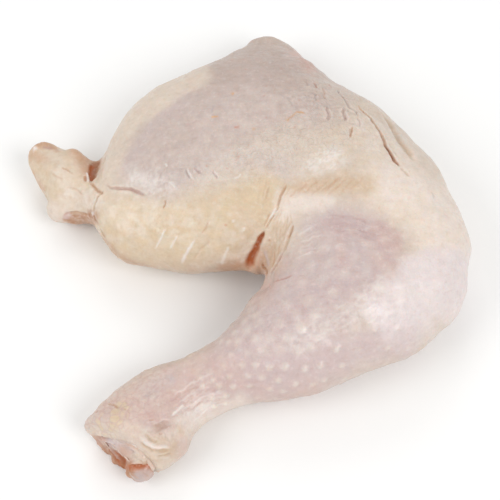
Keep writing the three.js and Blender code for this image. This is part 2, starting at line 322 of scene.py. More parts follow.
# Families of fine lines between two guides. Each row holds how many, depth, width, tone, strength
# of the tone, one guide, the other guide.
def familyLines(rows, seed):
    random = np.random.default_rng(seed)
    lines = []
    for count, depth, width, tone, strength, first, last in rows:
        first, last = np.array(first, float), np.array(last, float)
        for i in range(count):
            share = (i + random.uniform(*families["place"])) / count
            guide = [tuple(p) for p in first + (last - first) * share]
            line = np.array(denseLine(guide, families["step"]))
            line += random.normal(0, families["wobble"], line.shape)
            cut = random.integers(0, max(1, len(line) // families["cut"]), 2)
            line = line[cut[0]:len(line) - cut[1]]
            vary = random.uniform(*families["vary"])
            lines.append((depth * vary, 0, width, width, tone, strength * vary, [tuple(p) for p in line]))
    return lines


def flatNoise(along, across, layer):
    return np.array([noise.noise(Vector((a, b, layer))) for a, b in zip(along, across)])


# Wrinkles: thin wandering grooves, drawn out along one direction in the photograph. Each row holds
# height, direction in degrees, length, gap, and the reach at each end and the places of the field.
def layWrinkles(surface, rows):
    offset = np.zeros(len(surface["points"]))
    for number, (height, turn, length, gap, start, end, places) in enumerate(rows):
        index, weight = nearField(surface, (height, start, end, 3, places))
        flat = surface["flat"][index]
        c, s = math.cos(math.radians(turn)), math.sin(math.radians(turn))
        along = (flat[:, 0] * c - flat[:, 1] * s) / length
        across = (flat[:, 0] * s + flat[:, 1] * c) / gap
        broad = np.exp(-((flatNoise(along, across, 11.7 * number) / 0.12) ** 2))  # near nothing
        fine = np.exp(-((flatNoise(2.1 * along, 2.1 * across, 5.3 * number) / 0.14) ** 2))
        offset[index] += weight * (0.35 - broad - 0.5 * fine)
    return offset


# The skin's form.
skinForm = {
    "voxel": 1.42,          # edge of the mesh; halved on the camera's side, and again near lines
    "smoothPasses": 8,
    "lumpHeight": 0.35,     # soft unevenness all over
    "lumpSize": 9.0,
    "rippleHeight": 0.13,
    "rippleSize": 2.6,
    "refinePasses": 2,      # of smoothing after each halving
    "fineShare": 0.4,       # of a field in fineFields, past which the edges are halved again
    "fineReach": 0.7,       # beside each line, for the same
    "swellFade": 1.5,       # heights over the table within which swells, relief and grain die
    "reliefFade": 1.0,      # away, so that the face it rests on stays flat
    "grainFade": 3.0,
}

# Fields are broad patches. Each row holds strength, reach at its start and end, how sharp its edge
# is, places. These are where small forms crowd.
fineFields = [
    (1, 11, 10, 8, [(98, 428), (125, 456)]),
    (1, 9, 8, 8, [(120, 415), (150, 440), (172, 436)]),
    (1, 5, 5, 8, [(84, 168), (92, 182)]),
    (1, 6, 6, 8, [(280, 205), (270, 230), (260, 258)]),
]

# Broad swells and hollows that trim the form to the photograph's outline: rise, reach, place.
swells = [
    (1.3, 13, (160, 93)),
    (0.7, 7, (232, 53)),
    (0.6, 10, (203, 74)),
    (0.8, 7, (262, 39)),
    (1.1, 8, (302, 57)),
    (0.8, 6, (310, 62)),
    (-0.9, 8, (335, 80)),
    (-2.1, 9, (401, 127)),
    (0.8, 9, (436, 166)),
    (0.9, 12, (467, 271)),
    (0.9, 8, (410, 353)),
    (-0.6, 8, (382, 367)),
    (0.6, 6, (316, 393)),
    (-1.1, 5, (266, 284)),
    (1.9, 4, (257, 268)),
    (-1.2, 3, (265, 281)),
    (1.1, 5, (250, 298)),
    (0.7, 6, (200, 350)),
    (1.0, 8, (128, 379)),
    (0.9, 7, (152, 368)),
    (1.2, 3.5, (86, 427)),
    (-0.3, 4, (91, 413)),
    (0.6, 4, (100, 405)),
    (0.9, 5, (186, 449)),
    (-0.6, 4, (192, 436)),
    (-0.3, 2.6, (157, 472)),
    (-0.9, 8, (103, 155)),
    (-1.8, 3, (97, 163)),
    (1.4, 3, (38, 144)),
    (1.4, 3.5, (33, 154)),
    (0.9, 3.5, (33, 166)),
    (0.6, 3.5, (39, 184)),
    (-0.8, 2.5, (58, 147)),
    (1.6, 3.2, (74, 153)),
    (-1.6, 2.4, (42, 199)),
    (0.7, 3, (47, 214)),
    (1.0, 3, (54, 220)),
    (1.3, 4.5, (78, 222)),
    (-0.9, 2.5, (96, 224)),
    (0.5, 8, (125, 262)),
]

# Creases, slits, strands and small marks, in the rows of layLines.
skinLines = [
    # the two long creases of the knee, the fold between them and the notch where they start
    (0.7, 0.35, 0.3, 0.55, "brown", 0.7,
     [(358, 104), (363, 112), (370, 118), (376, 126), (381, 135), (385, 143), (388, 150), (394, 160),
      (400, 167)]),
    (0.2, 0, 0.3, 0.3, "orangeSpot", 0.6, [(358, 105), (361, 110), (365, 114)]),
    (0.6, 0, 0.35, 0.45, "darkBrown", 0.9, [(383, 141), (387, 148), (390, 154), (396, 161), (401, 168)]),
    (0.3, 0.1, 0.5, 0.4, "tan", 0.4, [(400, 167), (405, 172), (410, 178)]),
    (0.55, 0.35, 1.1, 1.2, "tan", 0.5,
     [(381, 112), (389, 123), (395, 132), (399, 140), (406, 149), (415, 162)]),
    (0.2, 0, 0.3, 0.3, "orangeSpot", 0.35, [(384, 117), (391, 127), (396, 134)]),
    (-0.35, 0, 1.2, 1.2, "fat", 0.3, [(372, 115), (384, 129), (393, 145), (403, 160)]),
    # short creases above it
    (0.25, 0.1, 0.3, 0.3, "greyShade", 0.5, [(305, 80), (307, 83), (307, 87)]),
    (0.3, 0.1, 0.3, 0.32, "redSpot", 0.6, [(314, 82), (316, 86), (317, 89)]),
    (0.3, 0.1, 0.35, 0.35, "greyShade", 0.45, [(312, 91), (316, 95), (316, 100), (314, 103)]),
    (0.3, 0.1, 0.3, 0.35, "brown", 0.35, [(321, 86), (325, 92), (325, 97), (328, 102)]),
    (0.4, 0.3, 0.4, 0.6, "plum", 0.25, [(328, 105), (327, 110), (329, 115), (328, 121)]),
    (0.4, 0.25, 0.35, 0.5, "greyShade", 0.45,
     [(336, 86), (339, 94), (346, 101), (349, 108), (356, 112), (359, 118)]),
    (0.45, 0.35, 0.4, 0.6, "plum", 0.3, [(345, 107), (343, 112), (345, 117), (345, 122)]),
    (0.45, 0.2, 0.3, 0.32, "brown", 0.75, [(353, 126), (352, 132), (350, 139)]),
    (0.25, 0.1, 0.3, 0.3, "salmon", 0.6, [(328, 82), (332, 88)]),
    (0.3, 0.2, 0.4, 0.4, "greyShade", 0.25, [(357, 117), (360, 121), (360, 127)]),
    (0.15, 0.1, 0.35, 0.35, "greyShade", 0.4, [(286, 95), (291, 103), (294, 108)]),
    (0.15, 0.1, 0.35, 0.35, "greyShade", 0.3, [(430, 191), (433, 195), (434, 200)]),
    # the bend: two strands that lead into the slit, the slit and the web beside it
    (0.35, 0.3, 0.35, 0.32, "brown", 0.5,
     [(288, 182), (284, 190), (281, 196), (279, 202), (277, 209), (274, 215)]),
    (0.3, 0.2, 0.3, 0.32, "brown", 0.6, [(275, 213), (270, 221), (266, 230)]),
    (0.25, 0.1, 0.3, 0.3, "brown", 0.5, [(270, 212), (267, 220), (264, 228)]),
    (-0.35, 0, 0.35, 0.35, "milk", 0.8, [(276, 207), (273, 213), (269, 220)]),
    (-0.3, 0, 0.8, 0.6, "fat", 0.5, [(281, 185), (276, 196), (273, 206)]),
    (0.25, 0.15, 0.35, 0.35, "tan", 0.6, [(270, 186), (267, 193), (265, 200)]),
    (1.3, 0.2, 0.4, 1.35, "slitRust", 0.97, [(266, 229), (261, 238), (257, 246), (252, 256), (247, 271)]),
    (0.5, 0.2, 0.4, 0.7, "cutBrown", 0.8, [(262, 263), (264, 268), (267, 274)]),
    (0.35, 0.2, 0.5, 0.6, "tan", 0.7, [(293, 223), (291, 231), (289, 238), (286, 246), (283, 253)]),
    (0.2, 0, 0.3, 0.3, "brown", 0.5, [(293, 224), (291, 232), (288, 240)]),
    (0.4, 0.2, 0.5, 0.4, "salmon", 0.5, [(284, 251), (279, 260), (273, 270), (269, 278)]),
    (0.1, 0, 0.4, 0.4, "darkBrown", 0.7, [(269, 241)]),
    (-0.25, 0, 0.7, 0.6, "lilac", 0.6, [(265, 248), (267, 257), (269, 268)]),
    (0.2, 0, 0.4, 0.5, "brown", 0.5, [(275, 249), (274, 259), (272, 269)]),
    (0.15, 0, 0.35, 0.35, "brown", 0.4, [(280, 244), (278, 256)]),
    (0.2, 0.1, 0.3, 0.3, "redSpot", 0.55, [(272, 282), (283, 279), (294, 275)]),
    # the thigh's creases, flecks and small veins
    (0.4, 0.3, 0.35, 0.6, "plum", 0.4,
     [(103, 184), (112, 188), (120, 189), (130, 189), (138, 192), (148, 196)]),
    (0.15, 0, 0.3, 0.5, "salmon", 0.7, [(112, 187), (122, 189), (134, 190), (144, 194)]),
    (0.3, 0.2, 0.3, 0.3, "brown", 0.7, [(166, 199), (165, 204), (163, 209)]),
    # flecks on the thigh: short creases whose darker inks are painted shade, and ridges beside them whose
    # milk inks are painted highlights
    (0.3, 0.25, 0.32, 0.32, "greyShade", 0.6, [(184, 168), (187, 173), (191, 180)]),
    (-0.2, 0, 0.3, 0.3, "milk", 0.55, [(186, 168), (189, 173), (193, 178), (194, 181)]),
    (0.3, 0.25, 0.35, 0.35, "plum", 0.45, [(194, 168), (199, 172), (203, 175)]),
    (0.3, 0.25, 0.3, 0.35, "plum", 0.45, [(211, 171), (214, 175), (218, 179)]),
    (-0.2, 0, 0.3, 0.3, "milk", 0.4, [(213, 170), (215, 174), (220, 178)]),
    (-0.2, 0, 0.35, 0.35, "milk", 0.5, [(233, 179), (238, 177), (241, 173)]),
    (-0.2, 0, 0.3, 0.3, "milk", 0.6, [(164, 163), (167, 167)]),
    (-0.2, 0, 0.4, 0.35, "milk", 0.45, [(167, 180), (172, 183), (176, 188)]),
    (0, 0, 0.5, 0.5, "orangeSpot", 0.8, [(233, 93)]),
    (0, 0, 0.32, 0.32, "orangeSpot", 0.8, [(212, 116), (213, 119)]),
    (0, 0, 0.32, 0.32, "orangeSpot", 0.7, [(213, 117), (219, 117)]),
    (0, 0, 0.32, 0.4, "redSpot", 0.6, [(233, 127), (237, 127), (240, 126)]),
    (0, 0, 0.5, 0.5, "orangeSpot", 0.5, [(254, 129)]),
    (0.1, 0, 0.3, 0.3, "orangeSpot", 0.75, [(295, 111), (297, 112), (301, 112), (306, 114)]),
    (0.1, 0, 0.3, 0.3, "orangeSpot", 0.5, [(297, 112), (292, 116), (287, 120)]),
    (0, 0, 0.4, 0.4, "orangeSpot", 0.8, [(288, 120)]),
    (0, 0, 0.3, 0.3, "greyShade", 0.9, [(214, 105), (213, 109), (212, 114)]),
    (0, 0, 0.45, 0.45, "brown", 0.6, [(225, 226), (227, 224)]),
    # white streaks on the lower thigh: low ridges whose milk inks are painted highlights
    (-0.15, 0, 0.32, 0.35, "milk", 0.6, [(167, 227), (161, 239), (155, 250)]),
    (-0.15, 0, 0.32, 0.32, "milk", 0.6, [(178, 235), (174, 242), (169, 250)]),
    (-0.2, 0, 0.35, 0.6, "milk", 0.75, [(196, 238), (188, 251), (181, 265)]),
    (-0.12, 0, 0.4, 0.6, "milk", 0.45, [(230, 245), (225, 255), (221, 266)]),
    (0.2, 0, 0.32, 0.32, "brown", 0.4, [(208, 221), (205, 228), (201, 234)]),
    (0.15, 0, 0.35, 0.35, "tan", 0.4, [(192, 262), (200, 250), (212, 240)]),
    (-0.1, 0, 0.4, 0.4, "milk", 0.6, [(233, 219), (234, 223)]),
    (-0.1, 0, 0.4, 0.4, "milk", 0.6, [(244, 227), (243, 232)]),
    # the hip knob, the gap beside it and the lobe under it
    (0.1, 0, 0.5, 0.6, "plum", 0.5, [(41, 147), (47, 148), (54, 148)]),
    (-0.4, 0, 0.6, 0.6, "milk", 0.95, [(34, 147), (36, 151)]),
    (0.25, 0.15, 0.3, 0.3, "brown", 0.6, [(60, 166), (64, 169), (69, 171), (74, 175)]),
    (0.15, 0, 0.3, 0.3, "brown", 0.35, [(50, 173), (58, 177), (64, 180)]),
    (0.15, 0.1, 0.35, 0.35, "brown", 0.3, [(66, 186), (76, 189), (84, 196)]),
    (0.3, 0.1, 0.45, 0.45, "rust", 0.6, [(85, 176), (85, 182)]),
    (0.9, 0.1, 1.6, 1.1, "darkBrown", 0.95, [(100, 156), (96, 163), (94, 170), (92, 177), (90, 184)]),
    (0.5, 0, 0.7, 0.5, "slitRust", 0.95, [(93, 162), (91, 169), (91, 175), (91, 181)]),
    (-0.5, 0, 0.4, 0.4, "milk", 0.95, [(87, 172), (88, 178), (88, 183)]),
    (0.4, 0.2, 0.4, 0.6, "brown", 0.8, [(90, 182), (94, 187), (98, 191), (104, 194)]),
    # the lobe's edge over the knob: a groove and lip whose tan ink is painted shade along the edge
    (0.55, 0.35, 0.4, 0.5, "tan", 0.6,
     [(105, 189), (98, 197), (95, 205), (94, 213), (96, 221), (101, 230), (107, 240)]),
    (0.3, 0.2, 0.4, 0.4, "brown", 0.4, [(62, 216), (68, 213), (78, 212), (88, 214), (95, 213)]),
    (-0.3, 0, 1.1, 1.2, "blush", 0.8, [(64, 219), (68, 215), (72, 213)]),
    (-0.3, 0, 0.8, 0.8, "milk", 0.8, [(92, 212), (94, 215)]),
    (0.2, 0, 0.45, 0.45, "darkBrown", 0.7, [(87, 214), (91, 217), (94, 219)]),
    # the hock: folds that round the side of the cut, a hollow, a tendon and small brown creases
    (-0.4, 0, 0.6, 0.6, "ivory", 0.55, [(137, 434), (144, 441), (152, 446), (160, 448), (171, 447)]),
    (0.35, 0.2, 0.4, 0.6, "tan", 0.6, [(139, 440), (144, 445), (151, 450), (159, 452), (170, 450)]),
    (0.3, 0.2, 0.35, 0.4, "tan", 0.5, [(144, 433), (151, 440), (159, 443)]),
    (0.3, 0.2, 0.35, 0.35, "tan", 0.5, [(156, 457), (164, 456), (172, 453)]),
    (0.5, 0.2, 2.2, 2.6, "hollow", 0.7, [(160, 421), (163, 427), (165, 431)]),
    (0.2, 0, 0.35, 0.35, "redSpot", 0.4, [(159, 434), (163, 434)]),
    (-0.4, 0, 0.3, 0.5, "milk", 0.85, [(171, 417), (177, 411), (185, 404)]),
    (0.25, 0.2, 0.3, 0.35, "brown", 0.55, [(107, 404), (113, 405), (120, 409)]),
    (0.2, 0.1, 0.3, 0.3, "brown", 0.4, [(123, 409), (127, 411), (131, 414)]),
    (0.3, 0.2, 0.4, 0.4, "darkBrown", 0.6, [(94, 414), (96, 412), (99, 411)]),
    (0.2, 0.1, 0.3, 0.3, "brown", 0.4, [(146, 420), (150, 420), (154, 419)]),
]

# Small red points of the thigh.
specks = [
    (273, 44), (265, 53), (257, 49), (246, 69), (232, 60), (243, 60), (256, 59), (213, 71), (282, 69),
    (318, 76), (264, 96), (267, 86), (267, 118), (299, 100), (294, 127), (227, 168), (206, 166), (238, 158),
]
skinLines += [(0, 0, 0.32, 0.32, "redSpot", 0.5, [place]) for place in specks]

# In the rows of familyLines.
skinFamilies = [
    # web of the bend, streaks of the tan band, arcs on the drumstick's top
    (13, 0.1, 0.32, "tan", 0.4,
     [(280, 205), (274, 220), (268, 240), (267, 260)],
     [(292, 206), (291, 222), (286, 240), (278, 258)]),
    (9, 0.1, 0.32, "brown", 0.28,
     [(283, 198), (294, 189), (305, 181)],
     [(346, 196), (358, 184), (372, 171)]),
    (7, -0.09, 0.3, "milk", 0.3,
     [(298, 230), (308, 224), (321, 219)],
     [(293, 262), (306, 256), (324, 250)]),
    # streaks of the shank, folds across the knee, and the thigh beside the bend
    (12, -0.13, 0.32, "milk", 0.38,
     [(170, 398), (192, 382), (216, 372)],
     [(186, 428), (208, 410), (236, 400)]),
    (9, 0.12, 0.35, "salmon", 0.4,
     [(160, 402), (185, 388), (210, 376)],
     [(180, 424), (200, 408), (228, 394)]),
    (9, 0.12, 0.3, "greyShade", 0.18,
     [(316, 104), (336, 102), (354, 105)],
     [(322, 128), (342, 126), (362, 128)]),
    (6, 0.1, 0.3, "tan", 0.3,
     [(262, 170), (258, 190), (250, 212)],
     [(274, 172), (272, 190), (266, 208)]),
    # pale streaks round the drumstick's highlight and on its front: low ridges whose milk inks are painted
    # highlights
    (4, -0.05, 0.3, "milk", 0.25,
     [(297, 334), (306, 328), (314, 320)],
     [(308, 352), (318, 345), (328, 337)]),
    (4, -0.05, 0.3, "milk", 0.2,
     [(322, 316), (334, 308), (346, 300)],
     [(334, 336), (348, 327), (362, 317)]),
    (5, -0.05, 0.3, "milk", 0.25,
     [(352, 300), (362, 294), (372, 289)],
     [(366, 330), (376, 322), (386, 314)]),
    (8, 0.1, 0.3, "plum", 0.25,
     [(322, 214), (352, 216), (384, 226)],
     [(318, 228), (350, 232), (384, 246)]),
]
skinLines += familyLines(skinFamilies, 4)

# In the rows of layWrinkles.
skinWrinkles = [
    (0.1, 25, 5.0, 1.6, 6, 8, [(248, 160), (275, 142), (305, 132)]),
    (0.09, 10, 3.2, 1.8, 5, 6, [(272, 164), (300, 160), (330, 156)]),
    (0.08, -10, 3.5, 1.3, 7, 8, [(318, 100), (345, 112), (372, 140)]),
    (0.06, 70, 3.0, 2.0, 12, 14, [(170, 150), (230, 110), (290, 80)]),
    (0.06, 55, 6.0, 2.2, 9, 9, [(130, 225), (180, 240), (235, 230)]),
    (0.06, 35, 4.0, 1.8, 9, 9, [(320, 185), (380, 190), (430, 230)]),
    (0.08, 25, 4.5, 1.7, 14, 12, [(370, 260), (320, 300), (260, 350)]),
    (0.08, 35, 5.0, 1.5, 8, 8, [(205, 385), (170, 405), (150, 425)]),
    (0.1, -30, 3.0, 1.5, 8, 7, [(50, 170), (75, 200)]),
    (0.05, 45, 4.0, 1.8, 10, 10, [(400, 300), (445, 280), (450, 220)]),
]


hockScales = {
    "size": 2.3,
    "grooveDepth": 0.1,
    "grooveWidth": 0.13,                        # of a scale
    "field": (1, 9, 8, 4, [(104, 424), (124, 402), (150, 388)]),
    "yellowField": (1, 4, 4, 6, [(106, 425), (114, 418), (124, 413)]),
    "plainShare": 0.35,                         # of the scales there that aren't yellow
    "grooveTone": 0.4,
    "scaleTone": 0.25,
    "yellowTone": 0.6,
}


def hockCells(surface):  # the scales: which points, weight, groove, and a steady chance for each scale
    index, weight = nearField(surface, hockScales["field"])
    groove = np.zeros(len(index))
    chance = np.zeros(len(index))
    for i, point in enumerate(surface["wavering"][index] / hockScales["size"]):
        near, centres = noise.voronoi(Vector(point))
        groove[i] = math.exp(-(((near[1] - near[0]) / hockScales["grooveWidth"]) ** 2))
        chance[i] = math.sin(centres[0].dot(Vector((12.9, 78.2, 37.7)))) * 4375.5 % 1
    return index, weight, groove, chance


def pushOut(surface, offset, fade):  # moves the points along their normals, but not on the table
    keepFlat = np.clip(surface["points"][:, 2] / fade, 0, 1)
    writePoints(surface["piece"], surface["points"] + surface["normals"] * (offset * keepFlat)[:, None])


def shapeSkin(piece):
    surface = surfaceOf(piece)
    surface["wavering"] = surface["points"]
    offset = addNoise(surface, skinForm["lumpHeight"], skinForm["lumpSize"], 1)
    for rise, reach, place in swells:
        index, gap, _ = nearPath(surface, [place], reach * 2.2)
        offset[index] += rise * np.exp(-((gap / reach) ** 2))
    pushOut(surface, offset, skinForm["swellFade"])

    surface = waver(surfaceOf(piece))
    relief = layLines(surface, skinLines) + layWrinkles(surface, skinWrinkles)
    index, weight, groove, chance = hockCells(surface)
    relief[index] -= hockScales["grooveDepth"] * weight * groove
    surface["scales"] = (index, weight, groove, chance)
    surface["relief"] = relief
    ripple = addNoise(surface, skinForm["rippleHeight"], skinForm["rippleSize"], 2)
    pushOut(surface, relief + ripple, skinForm["reliefFade"])
    return surface


# The leg's own tones, as they look in even light. Some also stand for light and shade: the grey on the
# thigh's top is painted shade, the pearly pink of the knee is partly a painted highlight, and milk also
# paints highlights and glints.
toneGain = 0.94
tones = {
    "cream": (217, 200, 184),
    "yellowCream": (222, 200, 168),
    "fat": (225, 208, 191),
    "greyLavender": (203, 185, 178),
    # grey of the painted shade on the thigh's top
    "topGrey": (188, 167, 157),
    "lilac": (202, 185, 185),
    "drumLavender": (203, 184, 183),
    "drumPink": (213, 194, 192),
    "shankPink": (213, 185, 179),
    "ivory": (238, 224, 214),
    # pale pink of the knee, lightened into a painted highlight
    "pearl": (232, 219, 217),
    "tan": (212, 184, 154),
    "brown": (202, 155, 120),
    "darkBrown": (176, 121, 86),
    "slitRust": (192, 104, 46),
    "rust": (176, 88, 24),
    "salmon": (206, 170, 157),
    "blush": (207, 177, 170),
    # white of tendons and small pale marks, and the tone of the painted highlights and glints
    "milk": (240, 232, 226),
    "plum": (186, 150, 147),
    "orangeSpot": (216, 160, 104),
    "redSpot": (196, 132, 112),
    "greyShade": (188, 171, 167),
    "follicle": (236, 226, 213),
    "follicleGap": (201, 175, 174),
    "scaleYellow": (221, 197, 158),
    "hollow": (192, 162, 147),
    "sponge": (192, 148, 118),
    "boneGrey": (203, 176, 167),
    "tendon": (224, 200, 184),
    "meat": (202, 163, 139),
    "cutBrown": (182, 124, 82),
}

# Broad fields of colour, laid one over the other: tone, strength, reach at each end, edge, places.
skinFields = [
    ("drumLavender", 0.95, 17, 13, 4, [(352, 262), (320, 290), (280, 325), (250, 352)]),
    ("drumPink", 0.85, 11, 11, 3, [(335, 352), (285, 368), (240, 374)]),
    ("shankPink", 0.9, 9, 11, 3, [(215, 378), (180, 392), (130, 420)]),
    ("greyLavender", 0.95, 13, 17, 5, [(158, 162), (200, 128), (260, 98), (300, 92)]),
    # painted shade: the thigh's top, sloping away from the light, greyer and darker
    ("topGrey", 0.75, 9, 11, 2, [(215, 68), (258, 48), (285, 66)]),
    ("lilac", 0.4, 2.5, 2.5, 2, [(119, 172), (130, 151), (147, 133), (164, 116), (186, 97)]),
    ("fat", 0.85, 5.5, 5, 5, [(98, 180), (108, 152), (132, 116), (165, 90), (196, 74)]),
    ("cream", 0.8, 8, 9, 3, [(250, 165), (300, 148), (355, 140)]),
    ("greyLavender", 0.75, 6, 6, 2, [(246, 170), (275, 167)]),
    ("cream", 0.4, 5, 5, 2, [(318, 84), (336, 98)]),
    ("yellowCream", 0.95, 12, 10, 4, [(120, 230), (175, 235), (225, 225), (258, 200)]),
    ("tan", 0.35, 6, 6, 2, [(235, 240), (245, 220)]),
    ("ivory", 0.9, 11, 10, 4, [(395, 190), (435, 215), (460, 262)]),
    ("scaleYellow", 0.12, 5, 4, 2, [(380, 205), (410, 225)]),
    ("ivory", 0.5, 4, 4, 2, [(362, 128), (376, 150)]),
    # the knee's pale pink skin with a painted highlight on it, in this row and the next
    ("pearl", 0.95, 10, 13, 10, [(394, 308), (425, 284), (446, 284)]),
    ("milk", 0.2, 5, 4, 2, [(408, 285), (430, 300)]),
    ("drumPink", 0.8, 6, 7, 4, [(366, 346), (400, 340)]),
    # more of the knee's painted highlight, over pale skin, on its lower side
    ("pearl", 0.7, 5, 6, 3, [(392, 332), (425, 326)]),
    ("tan", 0.4, 3, 3, 2, [(450, 345), (440, 352)]),
    ("tan", 0.7, 3.0, 4.0, 3, [(286, 190), (312, 184), (345, 182), (366, 186)]),
    ("ivory", 0.75, 3.5, 3.5, 3, [(284, 214), (292, 203), (325, 202)]),
    ("lilac", 0.6, 3.5, 5, 2, [(312, 226), (335, 219), (372, 228)]),
    ("plum", 0.22, 3, 5, 2, [(330, 224), (366, 232), (392, 242)]),
    ("blush", 0.7, 2.0, 2.0, 2, [(341, 240), (341, 262)]),
    ("blush", 0.8, 3.5, 3.0, 3, [(380, 232), (394, 248)]),
    ("blush", 0.7, 3, 3, 2, [(378, 257), (388, 268)]),
    ("blush", 0.5, 2.5, 3.5, 2, [(285, 262), (272, 282), (262, 300)]),
    # painted shade between the follicles along the drumstick's lower edge
    ("blush", 0.5, 4, 4, 2, [(232, 384), (275, 396), (320, 392)]),
    ("salmon", 0.9, 2.0, 1.8, 2, [(294, 55), (303, 62), (312, 68)]),
    # painted shade along the thigh's lower edge, where it curves under: this row and the next three
    ("tan", 0.2, 3.0, 3, 2, [(104, 240), (122, 257), (150, 266), (195, 273), (240, 270)]),
    ("darkBrown", 0.45, 1.3, 1.1, 2, [(103, 238), (111, 252), (128, 262), (150, 268)]),
    ("brown", 0.12, 1.0, 1.0, 2, [(150, 269), (180, 270), (222, 273), (250, 271)]),
    ("brown", 0.8, 2.4, 3.0, 2, [(226, 270), (242, 266), (250, 264)]),
    ("brown", 0.7, 3.0, 3.0, 2, [(262, 255), (260, 268)]),
    ("tan", 0.6, 3.0, 2.5, 2, [(272, 250), (272, 264)]),
    ("ivory", 0.8, 3.0, 3.5, 3, [(182, 434), (192, 422), (216, 409), (240, 402)]),
    ("lilac", 0.9, 3.5, 3.0, 2, [(150, 388), (170, 380)]),
    ("blush", 0.7, 3, 3, 2, [(172, 402), (194, 387)]),
    ("blush", 0.6, 3, 3, 2, [(143, 412), (155, 415)]),
    ("fat", 0.8, 4.0, 4.5, 4, [(93, 428), (112, 433), (134, 433), (150, 446)]),
    ("tan", 0.35, 2, 2.5, 2, [(146, 452), (158, 460)]),
    ("blush", 0.6, 2.5, 2.5, 2, [(98, 415), (108, 410)]),
    ("tan", 0.6, 1.8, 1.6, 2, [(154, 437), (162, 441)]),
    ("tan", 0.7, 1.6, 1.6, 2, [(179, 429), (182, 435)]),
    ("tan", 0.7, 1.4, 1.4, 2, [(175, 442), (171, 450), (163, 451)]),
    ("shankPink", 0.6, 3, 3, 2, [(183, 445), (180, 456)]),
    ("tan", 0.3, 2.5, 2.5, 2, [(166, 449), (174, 453)]),
    ("lilac", 0.35, 2.5, 3, 2, [(88, 424), (98, 419)]),
    ("yellowCream", 0.75, 9, 8, 4, [(48, 165), (62, 185), (82, 198)]),
    ("ivory", 0.5, 4.5, 4.5, 3, [(58, 212), (78, 200), (92, 200)]),
    ("fat", 0.6, 3, 3, 2, [(46, 154), (58, 160)]),
    ("ivory", 0.35, 2.5, 2.5, 2, [(84, 200), (90, 203)]),
    ("milk", 0.3, 3, 3, 2, [(60, 172), (70, 186)]),
    ("brown", 0.85, 1.3, 1.2, 3, [(38, 143), (46, 143), (56, 147)]),
    ("brown", 0.6, 2.0, 2.0, 2, [(33, 155), (40, 159)]),
    # painted shade, in a brown tone, down the knob's right side
    ("brown", 0.75, 2.6, 2.0, 2, [(76, 152), (84, 162), (86, 173)]),
    ("cutBrown", 0.5, 1.2, 1.2, 2, [(90, 161), (96, 163)]),
    ("brown", 0.6, 1.0, 1.0, 2, [(32, 172), (42, 190)]),
    ("sponge", 1.0, 2.6, 2.4, 6, [(73, 219), (82, 220), (91, 218)]),
]

# Blotches within fields: tone, share, size of the blotches, reach at each end, places.
skinBlotches = [
    ("blush", 0.25, 5.0, 17, 13, [(352, 262), (300, 310), (250, 352)]),
    ("fat", 0.2, 3.5, 17, 13, [(352, 270), (300, 320), (250, 358)]),
    ("blush", 0.45, 3.0, 10, 11, [(215, 378), (150, 412)]),
    ("fat", 0.3, 3.0, 10, 11, [(215, 382), (150, 418)]),
    # random patches in the grey of the thigh's painted top shade
    ("topGrey", 0.3, 4.0, 12, 14, [(160, 158), (230, 110), (300, 95)]),
    ("fat", 0.2, 3.0, 12, 14, [(180, 150), (240, 130), (310, 110)]),
    ("tan", 0.3, 4.5, 12, 10, [(120, 230), (180, 238), (250, 210)]),
    # painted glints: pale flecks on the wet thigh, in this row and the next
    ("milk", 0.25, 3.0, 10, 9, [(120, 222), (170, 225), (235, 235)]),
    ("milk", 0.12, 2.4, 8, 8, [(150, 175), (240, 165), (330, 158)]),
    ("scaleYellow", 0.18, 4.0, 11, 11, [(350, 150), (400, 200), (430, 225)]),
    ("tan", 0.35, 3.0, 8, 8, [(50, 165), (80, 198)]),
    ("milk", 0.2, 2.6, 8, 8, [(50, 175), (80, 200)]),
    ("darkBrown", 0.5, 0.8, 2.2, 2.2, [(73, 219), (91, 218)]),
    # painted glints: pale flecks round the drumstick's highlight and on the thigh, in the six rows from here
    ("milk", 0.45, 1.7, 4, 4.5, [(302, 340), (318, 328)]),
    ("milk", 0.3, 1.6, 4, 5, [(335, 322), (348, 312)]),
    ("milk", 0.4, 1.7, 3, 4, [(356, 316), (364, 300), (378, 286)]),
    ("milk", 0.6, 1.2, 3.2, 4, [(314, 162), (334, 157)]),
    ("milk", 0.4, 1.2, 5, 5, [(136, 178), (160, 183)]),
    ("milk", 0.15, 1.6, 6, 6, [(200, 172), (240, 164), (280, 160)]),
]

milkHighlights = [
    ("milk", 0.1, 4.5, 4.0, 3, [(113, 216), (130, 221)]),
    ("milk", 0.35, 2.6, 2.2, 3, [(133, 178), (152, 182)]),
    ("milk", 0.15, 2.4, 3.2, 2, [(318, 161), (332, 158)]),
    ("milk", 0.15, 3.0, 3.0, 2, [(308, 335), (318, 330)]),
    ("milk", 0.5, 3.0, 3.0, 2, [(190, 412), (204, 404)]),
]


def toLinear(rgb):
    share = np.array(rgb, float) / 255
    return toneGain * np.where(share <= 0.04045, share / 12.92, ((share + 0.055) / 1.055) ** 2.4)


def plainColours(surface, tone):
    return np.tile(toLinear(tones[tone]), (len(surface["points"]), 1))


def layTone(colours, index, tone, weight):
    colours[index] += (toLinear(tones[tone]) - colours[index]) * weight[:, None]


def layFields(colours, surface, fields):
    for tone, *field in fields:
        index, weight = nearField(surface, field)
        layTone(colours, index, tone, weight)


def layInks(colours, surface):
    for index, tone, weight in surface["inks"]:
        layTone(colours, index, tone, weight)


def layBlotches(colours, surface, rows):
    for number, (tone, share, size, start, end, places) in enumerate(rows):
        index, weight = nearField(surface, (1, start, end, 4, places))
        spot = Vector((5.1 * number, 3.7, 0))
        value = fractalAt(surface["points"][index] / size, spot, 0.7)
        layTone(colours, index, tone, share * weight * np.clip(0.5 + 1.6 * value, 0, 1))


